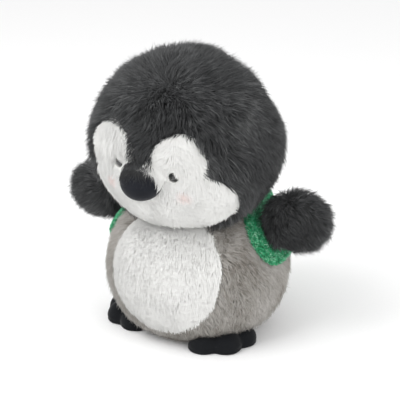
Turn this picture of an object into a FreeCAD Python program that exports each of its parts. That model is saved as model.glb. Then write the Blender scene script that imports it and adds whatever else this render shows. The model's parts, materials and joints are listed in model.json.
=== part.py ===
import FreeCAD, Part
import math
import os
import Sketcher

# Sitting plush penguin: a round furry head on a barrel body, two sewn flippers, two three-toed
# feet and a small stuffed back pack whose shoulder straps loop round the flippers.
# Millimetres. +Z is up, the penguin faces -Y, its left side is +X. The origin is the middle of
# the flat base, where it rests on a table.

doc = FreeCAD.newDocument("plush_penguin")

SIZES = {
    # head: an ellipsoid of pile tips round an ellipsoid of stuffing
    "head_half_width": 80.0,
    "head_half_depth": 78.0,
    "head_half_height": 76.5,
    "head_sink": 14.5,
    "head_lean": 19.0,
    "pile": 9.0,
    "ease": 0.3,
    "crown_seam_lead": 9.0,
    # white face: two eye lobes over one wide chin; each rise is counted from the head's middle,
    # while the chin is placed from the neck, where its seam ends; the face is sewn on by hand,
    # so its left and right halves differ by a few millimetres
    "lobe_offset_left": 29.0,
    "lobe_offset_right": 34.0,
    "lobe_rise_left": 0.0,
    "lobe_rise_right": 4.0,
    "lobe_half_width_left": 19.5,
    "lobe_half_width_right": 23.5,
    "lobe_half_height": 23.0,
    "chin_above_neck": 25.0,
    "chin_half_width": 75.0,
    "chin_half_height": 35.0,
    "outline_reach": 90.0,
    "forehead_rise": 6.0,
    "forehead_half_width": 46.0,
    "forehead_half_height": 52.0,
    # beak
    "beak_rise": -16.0,
    "beak_half_width": 17.0,
    "beak_half_depth": 16.0,
    "beak_half_height": 13.5,
    "beak_set_in": 2.0,
    "felt": 1.5,
    # safety eyes
    "eye_offset_left": 22.5,
    "eye_offset_right": 25.0,
    "eye_rise_left": -11.5,
    "eye_rise_right": -6.5,
    "eye_radius": 4.2,
    "stem_radius": 1.5,
    "stem_length": 8.0,
    "washer_radius": 6.5,
    "washer_thickness": 1.6,
    "stem_clearance": 0.1,
    # body: a barrel turned from one arc, through equal rims at the floor and the neck
    "body_half_width": 79.0,
    "rim_radius": 52.0,
    "neck_height": 110.0,
    "base_thickness": 3.0,
    "base_seam": 1.0,
    "back_seam_depth": 9.0,
    "belly_drop": 40.0,
    "belly_lead": 27.0,
    "belly_half_width": 52.0,
    "belly_half_height": 53.0,
    "bag_half_width": 36.0,
    "bag_half_height": 11.0,
    "bag_height": 20.0,
    # flippers
    "flipper_reach": 23.4,
    "flipper_forward": 6.0,
    "flipper_rise": 17.5,
    "flipper_half_length": 30.0,
    "flipper_half_thickness": 17.0,
    "flipper_half_height": 26.0,
    "flipper_pile": 7.0,
    "root_radius": 6.5,
    "root_stand_off": 0.5,
    "root_drop": 16.5,
    # feet, sewn on a little unevenly: each has its own bearing round the body, reach and turn
    "foot_bearing_left": 48.7,
    "foot_bearing_right": 66.0,
    "foot_out_left": -8.3,
    "foot_out_right": -3.4,
    "foot_splay_left": 49.0,
    "foot_splay_right": 42.0,
    "foot_half_width": 20.0,
    "foot_half_depth": 17.0,
    "foot_top": 15.0,
    "toe_radius": 14.0,
    "toe_pitch": 16.8,
    "toe_reach": 4.2,
    "middle_toe_lead": 7.0,
    "velboa": 2.0,
    # shoulder straps, lying on the body, each a loop just wide enough for a flipper's root
    "strap_thickness": 3.5,
    "strap_width": 13.0,
    "strap_play": 0.5,
    "strap_lead": 1.0,
    "strap_drop": 20.0,
    # back pack
    "pack_half_width": 30.0,
    "pack_low": 48.0,
    "pack_tall": 54.0,
    "pack_depth": 22.0,
    "pack_round": 12.0,
    "pack_fabric": 2.5,
    "pocket_half_width": 20.0,
    "pocket_rise": 6.0,
    "pocket_tall": 25.0,
    "pocket_depth": 7.0,
    "pocket_round": 5.0,
    "loop_radius": 9.0,
    "loop_cord_radius": 1.8,
    # sewn-in label
    "label_length": 12.0,
    "label_width": 14.0,
    "label_thickness": 0.8,
    "label_height": 14.0,
    # space that cutting blocks reach across
    "room": 300.0,
}

sheet = doc.addObject("Spreadsheet::Sheet", "dims")
for row, (alias, value) in enumerate(SIZES.items(), start=1):
    sheet.set(f"A{row}", alias)
    sheet.set(f"B{row}", str(value))
    sheet.setAlias(f"B{row}", alias)
doc.recompute()


def size(alias):
    """A driving dimension, read back from the sheet."""
    return float(sheet.get(alias))


# ---------------------------------------------------------------- building blocks

def place(solid, centre):
    """Bind a solid's position to three expressions."""
    for axis, text in zip("xyz", centre):
        solid.setExpression("Placement.Base." + axis, text)


def ellipsoid(name, centre, halves):
    """An ellipsoid with its half sizes along X, Y and Z as expressions."""
    solid = doc.addObject("Part::Ellipsoid", name)
    for prop, text in zip(("Radius2", "Radius3", "Radius1"), halves):
        solid.setExpression(prop, text)
    place(solid, centre)
    return solid


def block(name, low, lengths):
    """A box from its low corner and its three lengths, as expressions."""
    solid = doc.addObject("Part::Box", name)
    for prop, text in zip(("Length", "Width", "Height"), lengths):
        solid.setExpression(prop, text)
    place(solid, low)
    return solid


def cylinder(name, centre, radius, height):
    """A cylinder along its own +Z."""
    solid = doc.addObject("Part::Cylinder", name)
    solid.setExpression("Radius", radius)
    solid.setExpression("Height", height)
    place(solid, centre)
    return solid


def boolean(kind, name, base, tool):
    solid = doc.addObject(kind, name)
    solid.Base = base
    solid.Tool = tool
    return solid


def cut(name, base, *tools):
    """base with each tool taken away."""
    for index, tool in enumerate(tools):
        last = index == len(tools) - 1
        base = boolean("Part::Cut", name if last else f"{name}_cut_{index}", base, tool)
    return base


def common(name, base, *tools):
    """What base shares with every tool."""
    for index, tool in enumerate(tools):
        last = index == len(tools) - 1
        base = boolean("Part::Common", name if last else f"{name}_in_{index}", base, tool)
    return base


def fuse(name, base, *tools):
    """base joined with every tool."""
    for index, tool in enumerate(tools):
        last = index == len(tools) - 1
        base = boolean("Part::Fuse", name if last else f"{name}_with_{index}", base, tool)
    return base


def flat_sketch(body, name, role):
    """A sketch on one of the body's own origin planes."""
    plane = next(f for f in body.Origin.OriginFeatures if f.Role == role)
    sketch = body.newObject("Sketcher::SketchObject", name)
    sketch.AttachmentSupport = (plane, "")
    sketch.MapMode = "FlatFace"
    return sketch


def axis_of(body, role):
    return next(f for f in body.Origin.OriginFeatures if f.Role == role)


def bound(sketch, name, constraint, expression):
    """Add a dimension to a sketch and bind it to the sheet."""
    index = sketch.addConstraint(constraint)
    sketch.renameConstraint(index, name)
    sketch.setExpression("Constraints." + name, expression)


parts = {}
HEAD_MIDDLE = "(dims.neck_height + dims.head_half_height - dims.head_sink)"
HALF_TALL = "(dims.neck_height / 2)"
BULGE = "(dims.body_half_width - dims.rim_radius)"
SIDE_CURVE = f"(({HALF_TALL} ^ 2 + {BULGE} ^ 2) / (2 * {BULGE}))"
CURVE_INSET = f"(dims.body_half_width - {SIDE_CURVE})"
PACK_FACE = "(dims.body_half_width + dims.pack_depth)"
ROOT_HEIGHT = "(dims.neck_height - dims.root_drop)"
ROOT_REACH = f"({SIDE_CURVE} + dims.root_radius + dims.root_stand_off)"
ROOT_OFFSET = f"({CURVE_INSET} + sqrt({ROOT_REACH} ^ 2 - ({ROOT_HEIGHT} - {HALF_TALL}) ^ 2))"


def side_curve():
    """Radius of the arc that the barrel's side is turned from."""
    half_tall = size("neck_height") / 2
    bulge = size("body_half_width") - size("rim_radius")
    return (half_tall ** 2 + bulge ** 2) / (2 * bulge)


def body_side(height, stand_off=0.0):
    """Distance from the middle to a place stand_off outside the barrel's side at some height."""
    rise = height - size("neck_height") / 2
    inset = size("body_half_width") - side_curve()
    return inset + math.sqrt((side_curve() + stand_off) ** 2 - rise ** 2)


def keep(node, solid):
    """Register a finished piece under its node name."""
    solid.Label = node
    parts[node] = solid
    return solid


SIDES = (("left", 1.0), ("right", -1.0))


def signed(side, text):
    """An expression mirrored for the right-hand side."""
    return f"({text}) * {int(side)}"


# ---------------------------------------------------------------- halves and layers of space

upper_room = block("upper_room", ("-dims.room", "-dims.room", "dims.neck_height"),
                   ("2 * dims.room", "2 * dims.room", "dims.room"))
front_room = block("front_room", ("-dims.room", "-dims.head_lean - dims.crown_seam_lead - dims.room", "0"),
                   ("2 * dims.room", "dims.room", "dims.room"))
side_room = {
    "left": block("left_room", ("0", "-dims.room", "-dims.room"),
                  ("dims.room", "2 * dims.room", "2 * dims.room")),
    "right": block("right_room", ("-dims.room", "-dims.room", "-dims.room"),
                   ("dims.room", "2 * dims.room", "2 * dims.room")),
}

# ---------------------------------------------------------------- head envelopes

HEAD = ("0", "-dims.head_lean", HEAD_MIDDLE)


def head_ellipsoid(name, inset):
    halves = [f"dims.head_half_{way} - ({inset})" for way in ("width", "depth", "height")]
    return ellipsoid(name, HEAD, halves)


head_outer = head_ellipsoid("head_outer", "0")
head_backing = head_ellipsoid("head_backing", "dims.pile")
head_fill = head_ellipsoid("head_fill", "dims.pile + dims.ease")
head_dome = common("head_dome", head_outer, upper_room)
head_skin = cut("head_skin", head_dome, head_backing)

BEAK_HEIGHT = f"{HEAD_MIDDLE} + dims.beak_rise"
BEAK = ("0", "-dims.head_lean - dims.head_half_depth + dims.beak_set_in", BEAK_HEIGHT)


def beak_ellipsoid(name, inset):
    halves = [f"dims.beak_half_{way} - ({inset})" for way in ("width", "depth", "height")]
    return ellipsoid(name, BEAK, halves)


beak_outer = beak_ellipsoid("beak_outer", "0")
beak_hole = beak_ellipsoid("beak_hole", "-dims.ease")
beak_lining = beak_ellipsoid("beak_lining", "dims.felt")
beak_fill = beak_ellipsoid("beak_fill", "dims.felt + dims.ease")

# ---------------------------------------------------------------- safety eyes


def eye_placement(word, side):
    """Origin on the face backing, local +Z along the backing's outward normal."""
    halves = [size(f"head_half_{way}") - size("pile") for way in ("width", "depth", "height")]
    across = side * size(f"eye_offset_{word}")
    rise = size(f"eye_rise_{word}")
    ahead = -halves[1] * math.sqrt(1 - (across / halves[0]) ** 2 - (rise / halves[2]) ** 2)
    normal = FreeCAD.Vector(across / halves[0] ** 2, ahead / halves[1] ** 2, rise / halves[2] ** 2)
    middle = size("neck_height") + size("head_half_height") - size("head_sink")
    spot = FreeCAD.Vector(across, ahead - size("head_lean"), middle + rise)
    return FreeCAD.Placement(spot, FreeCAD.Rotation(FreeCAD.Vector(0, 0, 1), normal))


def turned_eye(name):
    """A half ball on a thin stem, turned about its own Z axis."""
    body = doc.addObject("PartDesign::Body", name)
    sketch = flat_sketch(body, name + "_profile", "XZ_Plane")
    radius = size("eye_radius")
    stem = size("stem_radius")
    depth = size("stem_length")
    points = [FreeCAD.Vector(0, radius), FreeCAD.Vector(0, -depth), FreeCAD.Vector(stem, -depth),
              FreeCAD.Vector(stem, 0), FreeCAD.Vector(radius, 0)]
    for first, second in zip(points, points[1:]):
        sketch.addGeometry(Part.LineSegment(first, second))
    ball = Part.Circle(FreeCAD.Vector(0, 0), FreeCAD.Vector(0, 0, 1), radius)
    sketch.addGeometry(Part.ArcOfCircle(ball, 0, math.pi / 2))
    for line in range(3):
        sketch.addConstraint(Sketcher.Constraint("Coincident", line, 2, line + 1, 1))
    sketch.addConstraint(Sketcher.Constraint("Coincident", 3, 2, 4, 1))
    sketch.addConstraint(Sketcher.Constraint("Coincident", 4, 2, 0, 1))
    sketch.addConstraint(Sketcher.Constraint("Coincident", 4, 3, -1, 1))
    sketch.addConstraint(Sketcher.Constraint("PointOnObject", 0, 1, -2))
    sketch.addConstraint(Sketcher.Constraint("PointOnObject", 0, 2, -2))
    sketch.addConstraint(Sketcher.Constraint("Horizontal", 1))
    sketch.addConstraint(Sketcher.Constraint("Vertical", 2))
    sketch.addConstraint(Sketcher.Constraint("PointOnObject", 3, 1, -1))
    sketch.addConstraint(Sketcher.Constraint("PointOnObject", 3, 2, -1))
    bound(sketch, "dome", Sketcher.Constraint("Radius", 4, radius), "dims.eye_radius")
    bound(sketch, "stem", Sketcher.Constraint("DistanceX", -1, 1, 2, 2, stem), "dims.stem_radius")
    bound(sketch, "depth", Sketcher.Constraint("DistanceY", 1, 2, -1, 1, depth), "dims.stem_length")
    turn = body.newObject("PartDesign::Revolution", name + "_turn")
    turn.Profile = sketch
    turn.ReferenceAxis = (axis_of(body, "Z_Axis"), [""])
    turn.Angle = 360
    return body


def ring_washer(name):
    """The disc that locks on the stem behind the backing."""
    body = doc.addObject("PartDesign::Body", name)
    sketch = flat_sketch(body, name + "_rings", "XY_Plane")
    rings = (("washer_radius", "dims.washer_radius"),
             ("stem_radius", "dims.stem_radius + dims.stem_clearance"))
    for index, (alias, text) in enumerate(rings):
        sketch.addGeometry(Part.Circle(FreeCAD.Vector(0, 0), FreeCAD.Vector(0, 0, 1), size(alias)))
        sketch.addConstraint(Sketcher.Constraint("Coincident", index, 3, -1, 1))
        bound(sketch, alias, Sketcher.Constraint("Radius", index, size(alias)), text)
    pad = body.newObject("PartDesign::Pad", name + "_pad")
    pad.Profile = sketch
    pad.setExpression("Length", "dims.washer_thickness")
    return body


eye_wells = []
washer_wells = []
for word, side in SIDES:
    seat = eye_placement(word, side)
    eye = turned_eye(f"eye_{word}_turned")
    eye.Placement = seat
    keep(f"eye_{word}", eye)
    washer = ring_washer(f"eye_washer_{word}_ring")
    sink = -(size("ease") + size("washer_thickness"))
    washer.Placement = seat.multiply(FreeCAD.Placement(FreeCAD.Vector(0, 0, sink), FreeCAD.Rotation()))
    keep(f"eye_washer_{word}", washer)
    # the short pile stands clear of the eye, and the stuffing clear of stem and washer
    well = doc.addObject("Part::Cylinder", f"eye_well_{word}")
    well.setExpression("Radius", "dims.eye_radius + dims.ease")
    well.setExpression("Height", "4 * dims.pile")
    deep = -2 * size("pile")
    well.Placement = seat.multiply(FreeCAD.Placement(FreeCAD.Vector(0, 0, deep), FreeCAD.Rotation()))
    eye_wells.append(well)
    pocket = doc.addObject("Part::Cylinder", f"washer_well_{word}")
    pocket.setExpression("Radius", "dims.washer_radius + dims.ease")
    pocket.setExpression("Height", "2 * dims.stem_length")
    deep = -(size("stem_length") + size("ease"))
    pocket.Placement = seat.multiply(FreeCAD.Placement(FreeCAD.Vector(0, 0, deep), FreeCAD.Rotation()))
    washer_wells.append(pocket)

# ---------------------------------------------------------------- head panels

FACE_FRONT = "-dims.head_lean - dims.head_half_depth"
lobes = {}
for word, side in SIDES:
    lobes[word] = ellipsoid(f"lobe_{word}", (signed(side, f"dims.lobe_offset_{word}"), FACE_FRONT,
                                               f"{HEAD_MIDDLE} + dims.lobe_rise_{word}"),
                            (f"dims.lobe_half_width_{word}", "dims.outline_reach", "dims.lobe_half_height"))
chin = ellipsoid("chin", ("0", FACE_FRONT, "dims.neck_height + dims.chin_above_neck"),
                 ("dims.chin_half_width", "dims.outline_reach", "dims.chin_half_height"))
forehead = ellipsoid("forehead", ("0", FACE_FRONT, f"{HEAD_MIDDLE} + dims.forehead_rise"),
                     ("dims.forehead_half_width", "dims.outline_reach", "dims.forehead_half_height"))
face_outline = fuse("face_outline", chin, lobes["left"], lobes["right"])

head_front = common("head_front", head_skin, front_room)
front_holed = cut("front_holed", head_front, beak_hole, eye_wells[0], eye_wells[1])
face_both = common("face_both", front_holed, face_outline)
front_dark = cut("front_dark", front_holed, face_outline)
keep("forehead_panel", common("forehead_part", front_dark, forehead))
cheeks_both = cut("cheeks_both", front_dark, forehead)
head_rear = cut("head_rear", head_skin, front_room)
for word, side in SIDES:
    keep(f"face_{word}", common(f"face_{word}_part", face_both, side_room[word]))
    keep(f"crown_{word}", common(f"crown_{word}_part", cheeks_both, side_room[word]))
    keep(f"head_back_{word}", common(f"head_back_{word}_part", head_rear, side_room[word]))

head_fill_cut = common("head_fill_cut", head_fill, upper_room)
keep("head_stuffing", cut("head_stuffing_part", head_fill_cut, *washer_wells))

# ---------------------------------------------------------------- beak

above_beak = block("above_beak", ("-dims.room", "-dims.room", BEAK_HEIGHT),
                   ("2 * dims.room", "2 * dims.room", "dims.room"))
beak_shell = cut("beak_shell", beak_outer, beak_lining, head_backing)
keep("beak_upper", common("beak_upper_part", beak_shell, above_beak))
keep("beak_lower", cut("beak_lower_part", beak_shell, above_beak))
keep("beak_stuffing", cut("beak_stuffing_part", beak_fill, head_backing))

# ---------------------------------------------------------------- body envelopes


def barrel(name, growth, floor):
    """The body turned from one arc, moved outwards by growth, standing on the height floor."""
    body = doc.addObject("PartDesign::Body", name)
    sketch = flat_sketch(body, name + "_profile", "XZ_Plane")
    radius = side_curve()
    inset = size("body_half_width") - radius
    top = size("neck_height")
    middle = top / 2
    low_angle = math.asin(-middle / radius)
    high_angle = math.asin((top - middle) / radius)
    curve = Part.Circle(FreeCAD.Vector(inset, middle), FreeCAD.Vector(0, 0, 1), radius)
    low = FreeCAD.Vector(inset + radius * math.cos(low_angle), 0)
    high = FreeCAD.Vector(inset + radius * math.cos(high_angle), top)
    sketch.addGeometry(Part.ArcOfCircle(curve, low_angle, high_angle))
    sketch.addGeometry(Part.LineSegment(high, FreeCAD.Vector(0, top)))
    sketch.addGeometry(Part.LineSegment(FreeCAD.Vector(0, top), FreeCAD.Vector(0, 0)))
    sketch.addGeometry(Part.LineSegment(FreeCAD.Vector(0, 0), low))
    sketch.addConstraint(Sketcher.Constraint("Coincident", 0, 2, 1, 1))
    sketch.addConstraint(Sketcher.Constraint("Coincident", 1, 2, 2, 1))
    sketch.addConstraint(Sketcher.Constraint("Coincident", 2, 2, 3, 1))
    sketch.addConstraint(Sketcher.Constraint("Coincident", 3, 2, 0, 1))
    sketch.addConstraint(Sketcher.Constraint("Horizontal", 1))
    sketch.addConstraint(Sketcher.Constraint("Horizontal", 3))
    sketch.addConstraint(Sketcher.Constraint("PointOnObject", 2, 1, -2))
    sketch.addConstraint(Sketcher.Constraint("PointOnObject", 2, 2, -2))
    bound(sketch, "curve", Sketcher.Constraint("Radius", 0, radius), SIDE_CURVE)
    bound(sketch, "inset", Sketcher.Constraint("DistanceX", -1, 1, 0, 3, inset),
          f"{CURVE_INSET} + ({growth})")
    bound(sketch, "middle", Sketcher.Constraint("DistanceY", 2, 2, 0, 3, middle), f"{HALF_TALL} - ({floor})")
    bound(sketch, "tall", Sketcher.Constraint("DistanceY", 2, 2, 2, 1, top), f"dims.neck_height - ({floor})")
    bound(sketch, "centre", Sketcher.Constraint("DistanceY", -1, 1, 0, 3, middle), HALF_TALL)
    turn = body.newObject("PartDesign::Revolution", name + "_turn")
    turn.Profile = sketch
    turn.ReferenceAxis = (axis_of(body, "Z_Axis"), [""])
    turn.Angle = 360
    return body


body_outer = barrel("body_outer", "0", "dims.base_thickness")
body_backing = barrel("body_backing", "-dims.pile", "dims.base_thickness")
body_fill = barrel("body_fill", "-dims.pile - dims.ease", "dims.base_thickness")
body_clear = barrel("body_clear", "dims.ease", "0")
body_skin = cut("body_skin", body_outer, body_backing)

belly_outline = ellipsoid("belly_outline",
                          ("0", "-dims.rim_radius - dims.belly_lead", "dims.neck_height - dims.belly_drop"),
                          ("dims.belly_half_width", "dims.outline_reach", "dims.belly_half_height"))
back_room = block("back_room", ("-dims.room", "dims.back_seam_depth", "0"),
                  ("2 * dims.room", "dims.room", "dims.room"))
keep("belly_panel", common("belly_part", body_skin, belly_outline))
body_grey = cut("body_grey", body_skin, belly_outline)
keep("back_panel", common("back_part", body_grey, back_room))
flanks = cut("flanks", body_grey, back_room)
for word, side in SIDES:
    keep(f"body_side_{word}", common(f"body_side_{word}_part", flanks, side_room[word]))


def base_disc(name):
    """The flat panel that the penguin sits on, sewn to the backing at the inner edge of the pile."""
    body = doc.addObject("PartDesign::Body", name)
    sketch = flat_sketch(body, name + "_circle", "XY_Plane")
    start = body_side(size("base_thickness")) - size("pile") + size("base_seam")
    sketch.addGeometry(Part.Circle(FreeCAD.Vector(0, 0), FreeCAD.Vector(0, 0, 1), start))
    sketch.addConstraint(Sketcher.Constraint("Coincident", 0, 3, -1, 1))
    bound(sketch, "rim", Sketcher.Constraint("Radius", 0, start),
          f"{CURVE_INSET} + sqrt({SIDE_CURVE} ^ 2 - ({HALF_TALL} - dims.base_thickness) ^ 2)"
          " - dims.pile + dims.base_seam")
    pad = body.newObject("PartDesign::Pad", name + "_pad")
    pad.Profile = sketch
    pad.setExpression("Length", "dims.base_thickness")
    return body


keep("base_panel", base_disc("base_disc"))

BAG = ("0", "0", "dims.bag_height")
BAG_HALVES = ["dims.bag_half_width", "dims.bag_half_width", "dims.bag_half_height"]
keep("pellet_bag", ellipsoid("pellet_bag_solid", BAG, BAG_HALVES))
bag_space = ellipsoid("bag_space", BAG, [text + " + dims.ease" for text in BAG_HALVES])
keep("body_stuffing", cut("body_stuffing_part", body_fill, bag_space))

# ---------------------------------------------------------------- flippers


FLIPPER_OFFSET = f"({ROOT_OFFSET} + dims.flipper_reach)"
FLIPPER_HEIGHT = f"({ROOT_HEIGHT} + dims.flipper_rise)"


def flipper_solid(name, side, inset):
    """A flat egg with a thin neck that ends in a ball at the root."""
    egg = ellipsoid(f"{name}_egg",
                    (signed(side, FLIPPER_OFFSET), "-dims.flipper_forward", FLIPPER_HEIGHT),
                    [f"dims.flipper_half_{way} - ({inset})" for way in ("length", "thickness", "height")])
    ball = doc.addObject("Part::Sphere", f"{name}_ball")
    ball.setExpression("Radius", "dims.root_radius")
    place(ball, (signed(side, ROOT_OFFSET), "-dims.flipper_forward", ROOT_HEIGHT))
    neck = doc.addObject("Part::Cylinder", f"{name}_neck")
    neck.setExpression("Radius", "dims.root_radius")
    root_height = size("neck_height") - size("root_drop")
    root_offset = body_side(root_height, size("root_radius") + size("root_stand_off"))
    start = FreeCAD.Vector(side * root_offset, -size("flipper_forward"), root_height)
    along = FreeCAD.Vector(side * size("flipper_reach"), 0, size("flipper_rise"))
    neck.Height = along.Length
    neck.Placement = FreeCAD.Placement(start, FreeCAD.Rotation(FreeCAD.Vector(0, 0, 1), along))
    return fuse(name, egg, neck, ball)


seam_room = block("seam_room", ("-dims.room", "-dims.flipper_forward - dims.room", "0"),
                  ("2 * dims.room", "dims.room", "dims.room"))
for word, side in SIDES:
    outer = flipper_solid(f"flipper_{word}_outer", side, "0")
    core = [f"dims.flipper_half_{way} - dims.flipper_pile" for way in ("length", "thickness", "height")]
    centre = (signed(side, FLIPPER_OFFSET), "-dims.flipper_forward", FLIPPER_HEIGHT)
    hollow = ellipsoid(f"flipper_{word}_hollow", centre, core)
    fill = ellipsoid(f"flipper_{word}_fill", centre, [text + " - dims.ease" for text in core])
    shell = cut(f"flipper_{word}_shell", outer, hollow)
    keep(f"flipper_{word}_front", common(f"flipper_{word}_front_part", shell, seam_room))
    keep(f"flipper_{word}_rear", cut(f"flipper_{word}_rear_part", shell, seam_room))
    keep(f"flipper_{word}_stuffing", fill)

# ---------------------------------------------------------------- feet

above_floor = block("above_floor", ("-dims.room", "-dims.room", "0"),
                    ("2 * dims.room", "2 * dims.room", "dims.room"))
above_sole = block("above_sole", ("-dims.room", "-dims.room", "dims.velboa"),
                   ("2 * dims.room", "2 * dims.room", "dims.room"))
above_lining = block("above_lining", ("-dims.room", "-dims.room", "dims.velboa + dims.ease"),
                     ("2 * dims.room", "2 * dims.room", "dims.room"))


def foot_solid(name, word, side, inset):
    """A low pad with three round toes in front, half under the body's side, toes turned outwards."""
    turn = FreeCAD.Rotation(FreeCAD.Vector(0, 0, 1), side * size(f"foot_splay_{word}"))
    away = body_side(size("foot_top") / 2) + size(f"foot_out_{word}")
    bearing = math.radians(size(f"foot_bearing_{word}"))
    heel = FreeCAD.Vector(side * away * math.sin(bearing), -away * math.cos(bearing), 0)
    lumps = []
    pad = doc.addObject("Part::Ellipsoid", f"{name}_pad")
    pad.setExpression("Radius2", f"dims.foot_half_width - ({inset})")
    pad.setExpression("Radius3", f"dims.foot_half_depth - ({inset})")
    pad.setExpression("Radius1", f"dims.foot_top - ({inset})")
    pad.Placement = FreeCAD.Placement(heel, turn)
    lumps.append(pad)
    for index, step in enumerate((-1, 0, 1)):
        lead = size("toe_reach") + (size("middle_toe_lead") if step == 0 else 0.0)
        local = FreeCAD.Vector(step * size("toe_pitch"), -lead, size("toe_radius") / 4)
        toe = doc.addObject("Part::Sphere", f"{name}_toe_{index}")
        toe.setExpression("Radius", f"dims.toe_radius - ({inset})")
        toe.Placement = FreeCAD.Placement(heel + turn.multVec(local), turn)
        lumps.append(toe)
    return fuse(name, *lumps)


for word, side in SIDES:
    outside = foot_solid(f"foot_{word}_outside", word, side, "0")
    inside = foot_solid(f"foot_{word}_inside", word, side, "dims.velboa")
    filler = foot_solid(f"foot_{word}_filler", word, side, "dims.velboa + dims.ease")
    grounded = common(f"foot_{word}_grounded", outside, above_floor)
    clear = cut(f"foot_{word}_clear", grounded, body_clear)
    cover = common(f"foot_{word}_cover", clear, above_sole)
    keep(f"foot_{word}_sole", cut(f"foot_{word}_sole_part", clear, above_sole))
    keep(f"foot_{word}_top", cut(f"foot_{word}_top_part", cover, inside))
    stuffed = common(f"foot_{word}_stuffed", filler, above_lining)
    keep(f"foot_{word}_stuffing", cut(f"foot_{word}_stuffing_part", stuffed, body_clear))

# ---------------------------------------------------------------- back pack and shoulder straps

pack_surface = barrel("pack_surface", "dims.ease + dims.pack_fabric", "0")
fill_surface = barrel("fill_surface", "2 * dims.ease + dims.pack_fabric", "0")


def soft_box(name, low, lengths, radius):
    """A box with all its edges rounded."""
    box = block(f"{name}_box", low, lengths)
    doc.recompute()
    rounded = doc.addObject("Part::Fillet", name)
    rounded.Base = box
    rounded.Edges = [(edge, radius, radius) for edge in range(1, len(box.Shape.Edges) + 1)]
    return rounded


def pack_box(name, inset, radius):
    """The pack's envelope; its inner side starts inside the body and is cut to the back."""
    deep = "dims.body_half_width - 4 * dims.pack_round"
    low = (f"-dims.pack_half_width + ({inset})", deep, f"dims.pack_low + ({inset})")
    lengths = (f"2 * (dims.pack_half_width - ({inset}))",
               f"{PACK_FACE} - ({inset}) - ({deep})",
               f"dims.pack_tall - 2 * ({inset})")
    return soft_box(name, low, lengths, radius)


pack_outer = pack_box("pack_outer", "0", size("pack_round"))
pack_inner = pack_box("pack_inner", "dims.pack_fabric", size("pack_round") - size("pack_fabric"))
pack_fill = pack_box("pack_fill", "dims.pack_fabric + dims.ease",
                     size("pack_round") - size("pack_fabric") - size("ease"))
pack_outside = cut("pack_outside", pack_outer, body_clear)
keep("pack_back_panel", common("pack_back_part", pack_outside, pack_surface))
pack_shell_solid = cut("pack_shell_solid", pack_outside, pack_surface)
keep("pack_shell", cut("pack_shell_part", pack_shell_solid, pack_inner))
keep("pack_filling", cut("pack_filling_part", pack_fill, fill_surface))

pocket_deep = "dims.pocket_depth + 2 * dims.pocket_round"
pocket_box = soft_box("pocket_box", ("-dims.pocket_half_width", f"{PACK_FACE} - 2 * dims.pocket_round",
                                     "dims.pack_low + dims.pocket_rise"),
                      ("2 * dims.pocket_half_width", pocket_deep, "dims.pocket_tall"), size("pocket_round"))
behind_pack = block("behind_pack", ("-dims.room", PACK_FACE, "0"),
                    ("2 * dims.room", "dims.room", "dims.room"))
keep("pack_pocket", common("pack_pocket_part", pocket_box, behind_pack))

loop = doc.addObject("Part::Torus", "loop_ring")
loop.setExpression("Radius1", "dims.loop_radius")
loop.setExpression("Radius2", "dims.loop_cord_radius")
loop.Placement.Rotation = FreeCAD.Rotation(FreeCAD.Vector(1, 0, 0), 90)
place(loop, ("0", "dims.body_half_width", "dims.pack_low + dims.pack_tall"))
keep("grab_loop", cut("grab_loop_part", loop, pack_outer))

strap_inside = barrel("strap_inside", "dims.ease", "0")
strap_outside = barrel("strap_outside", "dims.ease + dims.strap_thickness", "0")
strap_layer = cut("strap_layer", strap_outside, strap_inside)


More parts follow.
